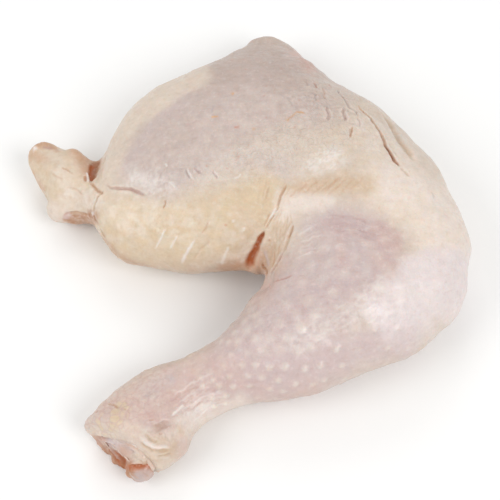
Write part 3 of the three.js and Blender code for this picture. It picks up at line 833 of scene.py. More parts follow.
def paintSkin(surface):
    colours = plainColours(surface, "cream")
    layFields(colours, surface, skinFields)
    layBlotches(colours, surface, skinBlotches)
    layFields(colours, surface, milkHighlights)
    index, weight, groove, chance = surface["scales"]
    layTone(colours, index, "salmon", hockScales["grooveTone"] * weight * groove)
    layTone(colours, index, "fat", hockScales["scaleTone"] * weight * (1 - groove))
    yellow = fieldStrength(surface, [hockScales["yellowField"]])[index]
    chosen = chance > hockScales["plainShare"]
    layTone(colours, index, "scaleYellow", hockScales["yellowTone"] * yellow * chosen * (1 - groove))
    layInks(colours, surface)
    return colours


# Where the finer grain of the skin shows, in fields.
skinMasks = {
    "follicleMask": [
        (0.3, 12, 14, 4, [(372, 258), (325, 275)]),
        (0.4, 13, 15, 5, [(325, 300), (290, 330), (258, 352)]),
        (0.9, 7, 7, 5, [(335, 362), (290, 374), (250, 380), (215, 388)]),
        (0.5, 7, 7, 3, [(375, 350), (400, 345)]),
    ],
    "follicleWidth": [
        (1.0, 16, 16, 5, [(372, 260), (320, 285), (275, 315)]),
    ],
    "wrinkleMask": [
        (1.0, 8, 10, 3, [(245, 158), (285, 145), (330, 130)]),
        (0.8, 9, 9, 3, [(320, 100), (350, 110), (380, 130)]),
        (0.5, 8, 8, 3, [(180, 170), (225, 175)]),
        (0.35, 12, 12, 3, [(300, 300), (260, 340)]),
    ],
    "gleamMask": [
        (0.8, 9, 9, 2, [(115, 215), (150, 230)]),
        (0.8, 9, 10, 2, [(290, 360), (380, 330)]),
        (0.6, 6, 6, 2, [(140, 178), (240, 172)]),
        (0.8, 4, 4, 2, [(318, 160), (332, 157)]),
        (0.5, 5, 5, 2, [(190, 410), (150, 445)]),
    ],
}


def storeFloats(mesh, name, values):
    attribute = mesh.attributes.new(name, "FLOAT", "POINT")
    attribute.data.foreach_set("value", values.astype(np.float32))


def storeColours(mesh, name, colours):
    attribute = mesh.attributes.new(name, "FLOAT_COLOR", "POINT")
    rgba = np.concatenate([colours, np.ones((len(colours), 1))], 1)
    attribute.data.foreach_set("color", rgba.astype(np.float32).ravel())


# Helpers for node trees.
def newSocket(tree, name, direction, kind, default=None):
    socket = tree.interface.new_socket(name=name, in_out=direction, socket_type="NodeSocket" + kind)
    if default is not None:
        socket.default_value = default
    return socket


def addNode(tree, kind, settings=None, **inputs):
    node = tree.nodes.new(kind)
    for key, value in (settings or {}).items():
        setattr(node, key, value)
    for key, value in inputs.items():
        socket = node.inputs[int(key[1:])] if key[0] == "i" and key[1:].isdigit() else node.inputs[key]
        if isinstance(value, bpy.types.NodeSocket):
            tree.links.new(value, socket)
        else:
            socket.default_value = value
    return node


def mathNode(tree, operation, a, b=0.0, c=0.0, clamp=False):
    settings = {"operation": operation, "use_clamp": clamp}
    return addNode(tree, "ShaderNodeMath", settings, i0=a, i1=b, i2=c).outputs[0]


def mapped(tree, value, low, high, bottom=0.0, top=1.0):
    return addNode(tree, "ShaderNodeMapRange", i0=value, i1=low, i2=high, i3=bottom, i4=top).outputs[0]


def mixColour(tree, factor, a, b, blend="MIX"):
    node = addNode(tree, "ShaderNodeMix", {"data_type": "RGBA", "blend_type": blend}, i0=factor, i6=a, i7=b)
    return node.outputs[2]


def greyOf(tree, level):
    return addNode(tree, "ShaderNodeCombineColor", i0=level, i1=level, i2=level).outputs[0]


def noiseTexture(tree, place, scale, detail, output=0):
    return addNode(tree, "ShaderNodeTexNoise", Vector=place, Scale=scale, Detail=detail).outputs[output]


# Follicles, by Geometry Nodes: staggered rings of points round the drumstick's axis, cast out onto
# the skin, where each raises a small bump. What starts with a capital is an input of the tree.
follicles = {
    "thick": {"Axis start": (52, -14, 19), "Axis bend": (34, -30, 19), "Axis end": (16, -38, 17),
              "Row gap": 5.6, "Count around": 20},
    "thin": {"Axis start": (12.5, -39.8, 16.4), "Axis bend": (0, -47, 13), "Axis end": (-22, -59, 11),
             "Row gap": 4.3, "Count around": 19},
    "Jitter": 0.8,
    "Bump radius": 1.1,         # twice as wide where the follicleWidth mask is full
    "Bump height": 0.9,
    "Seed": 7,
    "axisParts": 24,            # straight stretches of each axis
    "rayLength": 60.0,
    "edge": 2.6,                # how round-shouldered a bump is, and how quickly it falls away
    "fall": -1.5,
    "unevenness": 140.0,        # scale of the noise that varies their height, a metre
    "lowest": 0.5,
    "highest": 1.15,
}


def vectorMath(tree, operation, a, b=None, scale=None):
    inputs = {"i0": a}
    if b is not None:
        inputs["i1"] = b
    if scale is not None:
        inputs["Scale"] = scale
    return addNode(tree, "ShaderNodeVectorMath", {"operation": operation}, **inputs).outputs[0]


def follicleRows(tree, skin, group, name):  # staggered rings of points round one stretch
    start, bend, end = [group.outputs[f"{name} {part}"] for part in ("axis start", "axis bend", "axis end")]
    around = group.outputs[f"{name} count around"]
    axis = addNode(tree, "GeometryNodeCurveQuadraticBezier",
                   i0=follicles["axisParts"], Start=start, Middle=bend, End=end)
    spaced = addNode(tree, "GeometryNodeResampleCurve", {"mode": "LENGTH"},
                     Curve=axis.outputs[0], Length=group.outputs[f"{name} row gap"])
    place = addNode(tree, "GeometryNodeInputPosition").outputs[0]
    kept = addNode(tree, "GeometryNodeStoreNamedAttribute", {"data_type": "FLOAT_VECTOR", "domain": "POINT"},
                   Geometry=spaced.outputs[0], Name="axisPlace", i3=place)
    index = addNode(tree, "GeometryNodeInputIndex").outputs[0]
    turn = mathNode(tree, "MULTIPLY", index, mathNode(tree, "DIVIDE", math.pi, around))
    twisted = addNode(tree, "GeometryNodeSetCurveTilt", Curve=kept.outputs[0], Tilt=turn)
    ring = addNode(tree, "GeometryNodeCurvePrimitiveCircle", {"mode": "RADIUS"},
                   Resolution=around, Radius=1 * mm)
    tube = addNode(tree, "GeometryNodeCurveToMesh", i0=twisted.outputs[0], i1=ring.outputs[0])
    axisPlace = addNode(tree, "GeometryNodeInputNamedAttribute", {"data_type": "FLOAT_VECTOR"},
                        Name="axisPlace").outputs[0]
    outward = vectorMath(tree, "SUBTRACT", place, axisPlace)
    jitter = addNode(tree, "FunctionNodeRandomValue", {"data_type": "FLOAT_VECTOR"},
                     i0=(-1, -1, -1), i1=(1, 1, 1), Seed=group.outputs["Seed"])
    shaken = vectorMath(tree, "SCALE", jitter.outputs[0], scale=group.outputs["Jitter"])
    source = vectorMath(tree, "ADD", axisPlace, shaken)
    hit = addNode(tree, "GeometryNodeRaycast", {"data_type": "FLOAT"},
                  **{"Target Geometry": skin, "Source Position": source,
                     "Ray Direction": outward, "Ray Length": follicles["rayLength"] * mm})
    missed = addNode(tree, "FunctionNodeBooleanMath", {"operation": "NOT"}, i0=hit.outputs["Is Hit"])
    moved = addNode(tree, "GeometryNodeSetPosition",
                    Geometry=tube.outputs[0], Position=hit.outputs["Hit Position"])
    cleaned = addNode(tree, "GeometryNodeDeleteGeometry", {"domain": "POINT"},
                      Geometry=moved.outputs[0], Selection=missed.outputs[0])
    return cleaned.outputs[0]


def follicleTree(material):
    tree = bpy.data.node_groups.new("skinFollicles", "GeometryNodeTree")
    newSocket(tree, "Skin", "INPUT", "Geometry")
    for band in ("thick", "thin"):
        for part in ("axis start", "axis bend", "axis end"):
            newSocket(tree, f"{band} {part}", "INPUT", "Vector")
        newSocket(tree, f"{band} row gap", "INPUT", "Float")
        newSocket(tree, f"{band} count around", "INPUT", "Int")
    for name in ("Jitter", "Bump radius", "Bump height"):
        newSocket(tree, name, "INPUT", "Float")
    newSocket(tree, "Seed", "INPUT", "Int")
    newSocket(tree, "Skin", "OUTPUT", "Geometry")
    group = addNode(tree, "NodeGroupInput")
    skin = group.outputs["Skin"]
    points = addNode(tree, "GeometryNodeJoinGeometry")
    for band in ("thick", "thin"):
        tree.links.new(follicleRows(tree, skin, group, band), points.inputs[0])
    near = addNode(tree, "GeometryNodeProximity", {"target_element": "POINTS"}, i0=points.outputs[0])
    mask, wide = [
        addNode(tree, "GeometryNodeInputNamedAttribute", {"data_type": "FLOAT"}, Name=name).outputs[0]
        for name in ("follicleMask", "follicleWidth")
    ]
    widening = mathNode(tree, "MULTIPLY_ADD", wide, 1.0, 1.0)
    radius = mathNode(tree, "MULTIPLY", group.outputs["Bump radius"], widening)
    share = mathNode(tree, "DIVIDE", near.outputs["Distance"], radius)
    steep = mathNode(tree, "POWER", share, follicles["edge"])
    fall = mathNode(tree, "EXPONENT", mathNode(tree, "MULTIPLY", steep, follicles["fall"]))
    size = addNode(tree, "ShaderNodeTexNoise", {"noise_dimensions": "3D"},
                   Scale=follicles["unevenness"], Detail=1.0)
    uneven = mapped(tree, size.outputs[0], 0.3, 0.7, follicles["lowest"], follicles["highest"])
    bump = mathNode(tree, "MULTIPLY", mathNode(tree, "MULTIPLY", fall, mask), uneven)
    height = mathNode(tree, "MULTIPLY", bump, group.outputs["Bump height"])
    normal = addNode(tree, "GeometryNodeInputNormal").outputs[0]
    outwards = vectorMath(tree, "SCALE", normal, scale=height)
    raised = addNode(tree, "GeometryNodeSetPosition", Geometry=skin, Offset=outwards)
    stored = addNode(tree, "GeometryNodeStoreNamedAttribute", {"data_type": "FLOAT", "domain": "POINT"},
                     Geometry=raised.outputs[0], Name="follicle", i3=bump)
    plain = addNode(tree, "GeometryNodeRealizeInstances", i0=stored.outputs[0])
    finished = addNode(tree, "GeometryNodeSetMaterial", Geometry=plain.outputs[0], Material=material)
    ending = addNode(tree, "NodeGroupOutput")
    tree.links.new(finished.outputs[0], ending.inputs[0])
    return tree


def setInput(modifier, tree, name, value):
    sockets = [s for s in tree.interface.items_tree if s.item_type == "SOCKET" and s.in_out == "INPUT"]
    modifier[next(s.identifier for s in sockets if s.name == name)] = value


def raiseFollicles(piece, material):
    tree = follicleTree(material)
    modifier = piece.modifiers.new("Follicles", "NODES")
    modifier.node_group = tree
    for band in ("thick", "thin"):
        for key, value in follicles[band].items():
            scaled = tuple(v * mm for v in value) if isinstance(value, tuple) else value
            if key == "Row gap":
                scaled = value * mm
            setInput(modifier, tree, f"{band} {key[0].lower()}{key[1:]}", scaled)
    for key in ("Jitter", "Bump radius", "Bump height"):
        setInput(modifier, tree, key, follicles[key] * mm)
    setInput(modifier, tree, "Seed", follicles["Seed"])
    raised = bpy.data.meshes.new_from_object(piece.evaluated_get(bpy.context.evaluated_depsgraph_get()))
    piece.modifiers.clear()
    piece.data = raised


# Materials. Scales of textures are counts in a metre.
def mottleGroup():  # soft unevenness of tone, with patches of Size in mm
    tree = bpy.data.node_groups.new("mottle", "ShaderNodeTree")
    newSocket(tree, "Colour", "INPUT", "Color")
    newSocket(tree, "Size", "INPUT", "Float", 6.0)
    newSocket(tree, "Amount", "INPUT", "Float", 0.5)
    newSocket(tree, "Colour", "OUTPUT", "Color")
    group = addNode(tree, "NodeGroupInput")
    place = addNode(tree, "ShaderNodeTexCoord").outputs["Object"]
    scale = mathNode(tree, "DIVIDE", 1000.0, group.outputs["Size"])
    broad = noiseTexture(tree, place, scale, 3.0)
    fine = noiseTexture(tree, place, mathNode(tree, "MULTIPLY", scale, 5.0), 2.0)
    both = mathNode(tree, "MULTIPLY_ADD", broad, 0.6, mathNode(tree, "MULTIPLY", fine, 0.4))
    amount = mathNode(tree, "MULTIPLY", mathNode(tree, "SUBTRACT", both, 0.5), group.outputs["Amount"])
    grey = greyOf(tree, mathNode(tree, "ADD", 1.0, amount))
    toned = mixColour(tree, 1.0, group.outputs["Colour"], grey, "MULTIPLY")
    ending = addNode(tree, "NodeGroupOutput")
    tree.links.new(toned, ending.inputs[0])
    return tree


wetness = {
    "patchScale": 300.0,
    "dryBelow": 0.4,        # of the noise
    "wetAbove": 0.62,
    "patchShare": 0.35,     # of the wet look that the patches give, and that the gleam masks give
    "gleamShare": 0.4,
}


def dampGroup():  # where the surface is wetter: a roughness and a coat mask
    tree = bpy.data.node_groups.new("damp", "ShaderNodeTree")
    newSocket(tree, "Dry roughness", "INPUT", "Float", 0.5)
    newSocket(tree, "Wet roughness", "INPUT", "Float", 0.25)
    newSocket(tree, "Gleam", "INPUT", "Float", 0.0)
    newSocket(tree, "Roughness", "OUTPUT", "Float")
    newSocket(tree, "Coat", "OUTPUT", "Float")
    group = addNode(tree, "NodeGroupInput")
    place = addNode(tree, "ShaderNodeTexCoord").outputs["Object"]
    patches = noiseTexture(tree, place, wetness["patchScale"], 4.0)
    wet = mapped(tree, patches, wetness["dryBelow"], wetness["wetAbove"])
    gleam = mathNode(tree, "MULTIPLY", group.outputs["Gleam"], wetness["gleamShare"])
    share = mathNode(tree, "MULTIPLY_ADD", wet, wetness["patchShare"], gleam)
    rough = mapped(tree, share, 0.0, 1.0, group.outputs["Dry roughness"], group.outputs["Wet roughness"])
    ending = addNode(tree, "NodeGroupOutput")
    tree.links.new(rough, ending.inputs[0])
    tree.links.new(share, ending.inputs[1])
    return tree


def attributeNode(tree, name, output="Fac"):
    return addNode(tree, "ShaderNodeAttribute", {"attribute_name": name}).outputs[output]


def newMaterial(name):
    material = bpy.data.materials.new(name)
    material.use_nodes = True
    return material, material.node_tree, material.node_tree.nodes["Principled BSDF"]


def toneSocket(name):
    return (*toLinear(tones[name]), 1)


def wetShader(tree, shader, damp, look, gleam):  # the wetness and softness that skin and gristle share
    wet = addNode(tree, "ShaderNodeGroup", {"node_tree": damp}, Gleam=gleam,
                  **{"Dry roughness": look["dryRoughness"], "Wet roughness": look["wetRoughness"]})
    tree.links.new(wet.outputs["Roughness"], shader.inputs["Roughness"])
    tree.links.new(wet.outputs["Coat"], shader.inputs["Coat Weight"])
    shader.inputs["Coat Roughness"].default_value = look["coatRoughness"]
    shader.inputs["Subsurface Weight"].default_value = look["subsurface"]
    shader.inputs["Subsurface Radius"].default_value = look["subsurfaceRadius"]
    shader.inputs["Subsurface Scale"].default_value = look["subsurfaceScale"] * mm


skinLook = {
    "subsurface": 0.2,
    "subsurfaceRadius": (1.0, 0.45, 0.28),
    "subsurfaceScale": 1.6,       # mm
    "dryRoughness": 0.52,
    "wetRoughness": 0.34,
    "coatRoughness": 0.25,
    "bumpDistance": 0.4,          # mm
    "grooveShadeTint": (0.66, 0.52, 0.45, 1),
    "grooveShade": 0.4,           # painted shade in the grooves: how much darker and warmer they are, and at what relief
    "grooveRange": (0.0, -0.7),
    "ridgeHighlight": 0.3,            # painted highlight on the ridges: how much whiter they are, and at what relief
    "ridgeRange": (0.0, 0.45),
    "follicleShade": 0.9,
    # painted glints: pale flecks mixed towards the milk tone, where the noise runs high
    "glintFlecks": 0.16,
    "glintRange": (0.58, 0.68),   # of the noise
    "darkFlecks": 0.25,
    "darkRange": (0.42, 0.32),
    "darkTint": (0.86, 0.76, 0.68, 1),
    "streaks": 0.07,
    "follicleGap": 0.35,
    "fleckScale": 620.0,
    "streakScale": 560.0,
    "streakTurn": -34.0,          # degrees
    "streakLength": 4.0,          # times their width
    "mottleSize": 3.6,
    "mottleAmount": 0.26,
    "warpScale": 220.0,
    "warpReach": 3.0,             # mm
    "wrinkleScale": 480.0,
    "wrinkleAmount": 0.34,        # of the bump, where the wrinkleMask is full
    "wrinkleEverywhere": 0.08,
    "wrinkleRange": (0.0, 0.16),  # from an edge of the network
    "poreScale": 1100.0,
    "poreAmount": 0.3,
    "crinkleScale": 420.0,
    "crinkleAmount": 0.55,
    "bumpStrength": 0.75,
}


def skinMaterial(mottle, damp):
    look = skinLook
    material, tree, shader = newMaterial("rawSkin")
    place = addNode(tree, "ShaderNodeTexCoord").outputs["Object"]

    # tone: painted shade darkens and warms the grooves and painted highlights whiten the ridges, by the
    # relief; follicles paler than what lies between them
    tone = attributeNode(tree, "skinTone", "Color")
    relief = attributeNode(tree, "relief")
    shadowTone = mixColour(tree, 1.0, tone, look["grooveShadeTint"], "MULTIPLY")
    groove = mathNode(tree, "MULTIPLY", mapped(tree, relief, *look["grooveRange"]), look["grooveShade"])
    ridge = mathNode(tree, "MULTIPLY", mapped(tree, relief, *look["ridgeRange"]), look["ridgeHighlight"])
    shaded = mixColour(tree, ridge, mixColour(tree, groove, tone, shadowTone), toneSocket("milk"))
    follicle = attributeNode(tree, "follicle")
    between = mathNode(tree, "SUBTRACT", attributeNode(tree, "follicleMask"), follicle)
    gapShare = mathNode(tree, "MULTIPLY", between, look["follicleGap"])
    rosy = mixColour(tree, gapShare, shaded, toneSocket("follicleGap"))
    bumpShare = mathNode(tree, "MULTIPLY", follicle, look["follicleShade"])
    creamy = mixColour(tree, bumpShare, rosy, toneSocket("follicle"))

    # pale flecks of painted glint, dark flecks, streaks drawn out along the drumstick, and mottling
    flecks = noiseTexture(tree, place, look["fleckScale"], 2.0)
    light = mathNode(tree, "MULTIPLY", mapped(tree, flecks, *look["glintRange"]), look["glintFlecks"])
    dark = mathNode(tree, "MULTIPLY", mapped(tree, flecks, *look["darkRange"]), look["darkFlecks"])
    flecked = mixColour(tree, light, creamy, toneSocket("milk"))
    dusky = mixColour(tree, 1.0, flecked, look["darkTint"], "MULTIPLY")
    drawn = addNode(tree, "ShaderNodeMapping", Vector=place, Scale=(1 / look["streakLength"], 1, 1),
                    Rotation=(0, 0, math.radians(look["streakTurn"])))
    streak = noiseTexture(tree, drawn.outputs[0], look["streakScale"], 3.0)
    shift = mathNode(tree, "MULTIPLY", mathNode(tree, "SUBTRACT", streak, 0.5), look["streaks"] * 2)
    grey = greyOf(tree, mathNode(tree, "ADD", 1.0, shift))
    streaked = mixColour(tree, 1.0, mixColour(tree, dark, flecked, dusky), grey, "MULTIPLY")
    mottled = addNode(tree, "ShaderNodeGroup", {"node_tree": mottle},
                      Colour=streaked, Size=look["mottleSize"], Amount=look["mottleAmount"])
    tree.links.new(mottled.outputs[0], shader.inputs["Base Color"])
    wetShader(tree, shader, damp, look, attributeNode(tree, "gleamMask"))

    # grain: a network of wrinkles, crinkles and pores
    warp = noiseTexture(tree, place, look["warpScale"], 2.0, "Color")
    warped = addNode(tree, "ShaderNodeVectorMath", {"operation": "MULTIPLY_ADD"},
                     i0=warp, i1=(look["warpReach"] * mm,) * 3, i2=place).outputs[0]
    network = addNode(tree, "ShaderNodeTexVoronoi", {"feature": "DISTANCE_TO_EDGE"},
                      Vector=warped, Scale=look["wrinkleScale"])
    wrinkleShare = mathNode(tree, "MULTIPLY_ADD", attributeNode(tree, "wrinkleMask"),
                            look["wrinkleAmount"], look["wrinkleEverywhere"])
    ridges = mapped(tree, network.outputs["Distance"], *look["wrinkleRange"])
    wrinkles = mathNode(tree, "MULTIPLY", ridges, wrinkleShare)
    pores = noiseTexture(tree, place, look["poreScale"], 3.0)
    crinkle = noiseTexture(tree, warped, look["crinkleScale"], 3.0)
    creased = mathNode(tree, "MULTIPLY_ADD", crinkle, look["crinkleAmount"], wrinkles)
    height = mathNode(tree, "MULTIPLY_ADD", pores, look["poreAmount"], creased)
    bump = addNode(tree, "ShaderNodeBump", Height=height,
                   Strength=look["bumpStrength"], Distance=look["bumpDistance"] * mm)
    tree.links.new(bump.outputs[0], shader.inputs["Normal"])
    return material


gristleLook = {
    "subsurface": 0.1,
    "subsurfaceRadius": (1.0, 0.4, 0.25),
    "subsurfaceScale": 1.0,
    "dryRoughness": 0.42,
    "wetRoughness": 0.24,
    "coatRoughness": 0.18,
    "gleam": 0.6,
    "mottleSize": 2.0,
    "mottleAmount": 0.4,
    "pitScale": 1300.0,
    "bumpStrength": 0.5,
    "bumpDistance": 0.25,
}


def gristleMaterial(mottle, damp, name, attribute):
    look = gristleLook
    material, tree, shader = newMaterial(name)
    place = addNode(tree, "ShaderNodeTexCoord").outputs["Object"]
    mottled = addNode(tree, "ShaderNodeGroup", {"node_tree": mottle}, Size=look["mottleSize"],
                      Amount=look["mottleAmount"], Colour=attributeNode(tree, attribute, "Color"))
    tree.links.new(mottled.outputs[0], shader.inputs["Base Color"])
    wetShader(tree, shader, damp, look, look["gleam"])
    bump = addNode(tree, "ShaderNodeBump", Height=noiseTexture(tree, place, look["pitScale"], 3.0),
                   Strength=look["bumpStrength"], Distance=look["bumpDistance"] * mm)
    tree.links.new(bump.outputs[0], shader.inputs["Normal"])
    return material


# The cut hock: the skin ends along skinEdge and covers the part of the cut above that line.
hock = {
    "middle": (-38.8, -75.8, 11.1),       # of the cut, and the way it faces
    "facing": (-0.53, -0.84, 0.12),
    "rim": 0.7,                           # of skin round the open part
    "softness": 0.5,                      # over which the open part begins
    "recess": 1.3,                        # how far the skin's mesh lies back inside the open part
    "lipRise": 0.35,                      # of the rolled skin edge, its place over that edge
    "lipPlace": 0.9,
    "lipReach": 1.1,
    "zone": (-1.6, 3.0),                  # behind and in front of the cut, what of the skin moves
    "faceGap": 0.08,                      # from the cut, within which a corner of the solid is on it
    "faceFrom": 7.0,                      # from the middle, where such corners are looked for
    "rimFrom": 10.9,                      # from the middle, where they are on the rim
    "rimTurns": 48,
    "turnReach": 0.1,
    "rimDepth": 3.0,                      # before and behind the cut, what of the skin is tinted
    "rimLine": (1.3, 2.0),                # the brown line's reach out over the rim and in from it
    "rimTone": 0.85,
    "meatTone": 0.9,
    "skinEdge": [(84, 424), (92, 433), (104, 437), (115, 439), (128, 443), (136, 446), (141, 453), (147, 459),
                 (150, 467), (150, 482)],
}
hockMiddle = np.array(hock["middle"])
hockFacing = np.array(hock["facing"]) / np.linalg.norm(hock["facing"])
hockRight = np.cross((0, 0, 1), hockFacing)
hockRight /= np.linalg.norm(hockRight)
hockUp = np.cross(hockFacing, hockRight)

# Bulges of the tissue: along the outer side under the bone, and round the bone under the skin's edge.
tissueSwells = [
    (-2.0, 0, 2.4, 2.6, "meat", 0, [(112, 453), (118, 460), (124, 466), (129, 471), (134, 476)]),
    (-1.6, 0, 1.3, 1.2, "meat", 0,
     [(98, 435), (106, 437), (114, 439), (121, 440), (128, 442), (135, 446), (141, 454)]),
    (-1.2, 0, 1.0, 1.0, "meat", 0, [(125, 444), (129, 448), (133, 452), (139, 458)]),
    (-1.6, 0, 1.3, 1.3, "meat", 0, [(137, 451)]),
    (-1.8, 0, 1.4, 1.8, "meat", 0, [(139, 450), (145, 457), (150, 464), (153, 471), (156, 476)]),
]

# Forms and tints of the cut tissue and of the bone end, laid out as in skinLines and skinFields.
cutLines = [
    # layers along the outer side
    (-0.45, 0, 0.9, 1.0, "meat", 0.5, [(94, 437), (104, 449), (113, 460), (121, 471), (130, 480)]),
    (0.35, 0, 0.5, 0.6, "rust", 0.75, [(104, 444), (109, 450), (115, 457), (121, 465), (127, 473)]),
    (0.15, 0, 0.3, 0.3, "darkBrown", 0.7, [(103, 447), (106, 451), (109, 455)]),
    (0.3, 0, 0.3, 0.3, "darkBrown", 0.8, [(114, 461), (118, 466), (120, 469)]),
    (0.5, 0, 0.7, 0.9, "rust", 0.75, [(112, 449), (117, 454), (122, 460), (128, 466)]),
    (-0.3, 0, 0.35, 0.35, "salmon", 0.8, [(108, 447), (114, 454), (121, 462)]),
    (0.15, 0, 0.3, 0.4, "brown", 0.6, [(108, 441), (115, 447), (123, 453)]),
    (-0.25, 0, 0.3, 0.3, "milk", 0.6, [(104, 438), (110, 444), (118, 451), (126, 458)]),
    (-0.2, 0, 0.25, 0.25, "fat", 0.6, [(99, 440), (105, 446), (110, 452)]),
    # small creases under the skin's edge
    (0.3, 0.2, 0.3, 0.35, "brown", 0.6, [(124, 442), (131, 445), (137, 449), (141, 454)]),
    (0.4, 0.3, 0.3, 0.35, "darkBrown", 0.7, [(142, 455), (146, 458)]),
    (0.4, 0.3, 0.3, 0.35, "darkBrown", 0.7, [(147, 459), (151, 463)]),
    (0.4, 0.2, 0.35, 0.35, "tan", 0.6, [(136, 452), (142, 460), (150, 464)]),
    # hollow over the knob of the bone
    (0.9, 0.2, 0.7, 0.8, "rust", 0.8, [(127, 467), (134, 468), (141, 467), (147, 466), (153, 467)]),
    (0.3, 0, 0.4, 0.4, "rust", 0.95, [(133, 468), (139, 467)]),
    (0.3, 0, 0.5, 0.6, "rust", 0.8, [(152, 467), (156, 469)]),
    (0.2, 0, 0.3, 0.3, "brown", 0.5, [(131, 472), (136, 477), (140, 479)]),
    (0.2, 0, 0.25, 0.25, "brown", 0.4, [(141, 471), (146, 474), (149, 477)]),
    (-0.2, 0, 0.3, 0.3, "fat", 0.5, [(129, 472), (133, 477), (138, 480)]),
]
cutFields = [
    ("cutBrown", 0.75, 2.6, 2.6, 3, [(100, 446), (112, 459), (124, 472)]),
    ("salmon", 0.8, 1.6, 1.6, 2, [(100, 439), (108, 442)]),
    ("lilac", 0.95, 2.4, 2.6, 3, [(114, 442), (122, 445), (130, 448)]),
    ("boneGrey", 0.9, 2.4, 3.0, 3, [(124, 450), (131, 456), (136, 460)]),
    ("meat", 0.6, 2.0, 2.0, 2, [(123, 452), (131, 458)]),
    ("fat", 0.8, 1.8, 2.0, 2, [(136, 455), (139, 460)]),
    ("fat", 0.8, 2.4, 2.6, 3, [(141, 448), (150, 458)]),
    ("ivory", 0.7, 1.6, 1.6, 3, [(118, 438), (128, 441), (136, 446)]),
    ("cutBrown", 0.9, 1.9, 1.9, 3, [(120, 462), (126, 470), (131, 477)]),
    ("cutBrown", 0.9, 1.5, 1.7, 3, [(126, 466), (140, 467), (156, 468)]),
    ("rust", 0.6, 1.0, 1.2, 2, [(128, 466), (140, 466), (148, 465)]),
    ("boneGrey", 0.9, 2.0, 2.2, 3, [(137, 476), (145, 474)]),
    ("greyShade", 0.7, 1.3, 1.3, 2, [(136, 475), (140, 477)]),
]

# Strands of tendon that lie on the cut: half width, height over the tissue, places.
strands = [
    (0.42, -0.25, [(103, 437), (107, 441), (113, 445), (117, 450), (122, 454), (126, 460), (130, 463)]),
    (0.34, -0.3, [(101, 441), (105, 446), (108, 449), (113, 453)]),
    (0.32, -0.22, [(128, 470), (131, 474), (136, 478)]),
    (1.5, 0.0, [(140, 450), (144, 455), (148, 460), (152, 465), (155, 471)]),
]


def inCut(points):  # how far each point is to the right of, above and in front of the cut's middle
    away = points - hockMiddle
    return away @ hockRight, away @ hockUp, away @ hockFacing


def edgeHeights():  # the skin's edge, as heights over the middle of the cut
    middle = view["imageSize"] / 2
    spots = []
    for across, down in hock["skinEdge"]:
        ray = ((across - middle) * viewRight - (down - middle) * viewUp) / pixelsPerSlope - viewBack
        spots.append(eye + ray * (((hockMiddle - eye) @ hockFacing) / (ray @ hockFacing)))
    right, up, _ = inCut(np.array(spots))
    return lambda query: np.interp(query, right, up)


def cutOutline():  # radius of the solid's cut face, by angle round its middle
    points = readVectors(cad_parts["leg"].data.vertices, "co") / mm
    right, up, front = inCut(points)
    distances = np.hypot(right, up)
    onFace = (np.abs(front) < hock["faceGap"]) & (distances > hock["faceFrom"])
    angles = np.arctan2(up, right)[onFace]
    radii = distances[onFace]
    outer = []
    for turn in np.linspace(-math.pi, math.pi, hock["rimTurns"] + 1)[:-1]:
        near = np.abs(np.angle(np.exp(1j * (angles - turn)))) < hock["turnReach"]
        if near.any() and radii[near].max() > hock["rimFrom"]:
            outer.append((turn, radii[near].max()))
    turns, reaches = zip(*outer)

    def radius(query):  # never under the table
        room = hockMiddle[2] / np.maximum(-np.sin(query) * hockUp[2], 0.01)
        return np.minimum(np.interp(query, turns, reaches, period=2 * math.pi), room)

    return radius


def openShare(points, outline, edge):  # 1 in the open part; room to its rim, height over the skin's edge
    right, up, front = inCut(points)
    room = outline(np.arctan2(up, right)) - hock["rim"] - np.hypot(right, up)
    above = up - edge(right)
    inside = np.clip(room / hock["softness"] + 0.5, 0, 1)
    share = inside * np.clip(0.5 - above / hock["softness"], 0, 1)
    return share, room, above, front


def openCut(piece, outline, edge):  # sinks the skin's mesh in the open part and rolls the skin's edge
    surface = surfaceOf(piece)
    share, room, above, front = openShare(surface["points"], outline, edge)
    behind, before = hock["zone"]
    onFace = (front > behind) & (front < before) & (surface["normals"] @ hockFacing > 0.25)
    lip = np.exp(-(((above - hock["lipPlace"]) / hock["lipReach"]) ** 2)) * np.clip(room + 0.5, 0, 1)
    shift = (hock["lipRise"] * lip * (1 - share) - hock["recess"] * share) * onFace
    writePoints(piece, surface["points"] + hockFacing * shift[:, None])


def paintRim(colours, surface, outline, edge):  # meat inside the open part, and a brown line round it
    share, room, above, front = openShare(surface["points"], outline, edge)
    near = np.abs(front) < hock["rimDepth"]
    index = np.flatnonzero(near & (front < -0.2) & (share > 0.3) & (room > -1))
    layTone(colours, index, "meat", np.full(len(index), hock["meatTone"]))
    outside, inside = hock["rimLine"]
    index = np.flatnonzero(near & (room > -outside) & (room < inside) & (above < -0.4))
    layTone(colours, index, "cutBrown", np.clip((outside + room[index]) / 0.8, 0, 1) * hock["rimTone"])


def finishMesh(name, points, faces):
    mesh = bpy.data.meshes.new(name)
    mesh.from_pydata([tuple(p * mm) for p in points], [], faces)
    turned = bmesh.new()
    turned.from_mesh(mesh)
    bmesh.ops.recalc_face_normals(turned, faces=turned.faces)
    turned.to_mesh(mesh)
    turned.free()
    piece = bpy.data.objects.new(name, mesh)
    bpy.context.collection.objects.link(piece)
    return piece


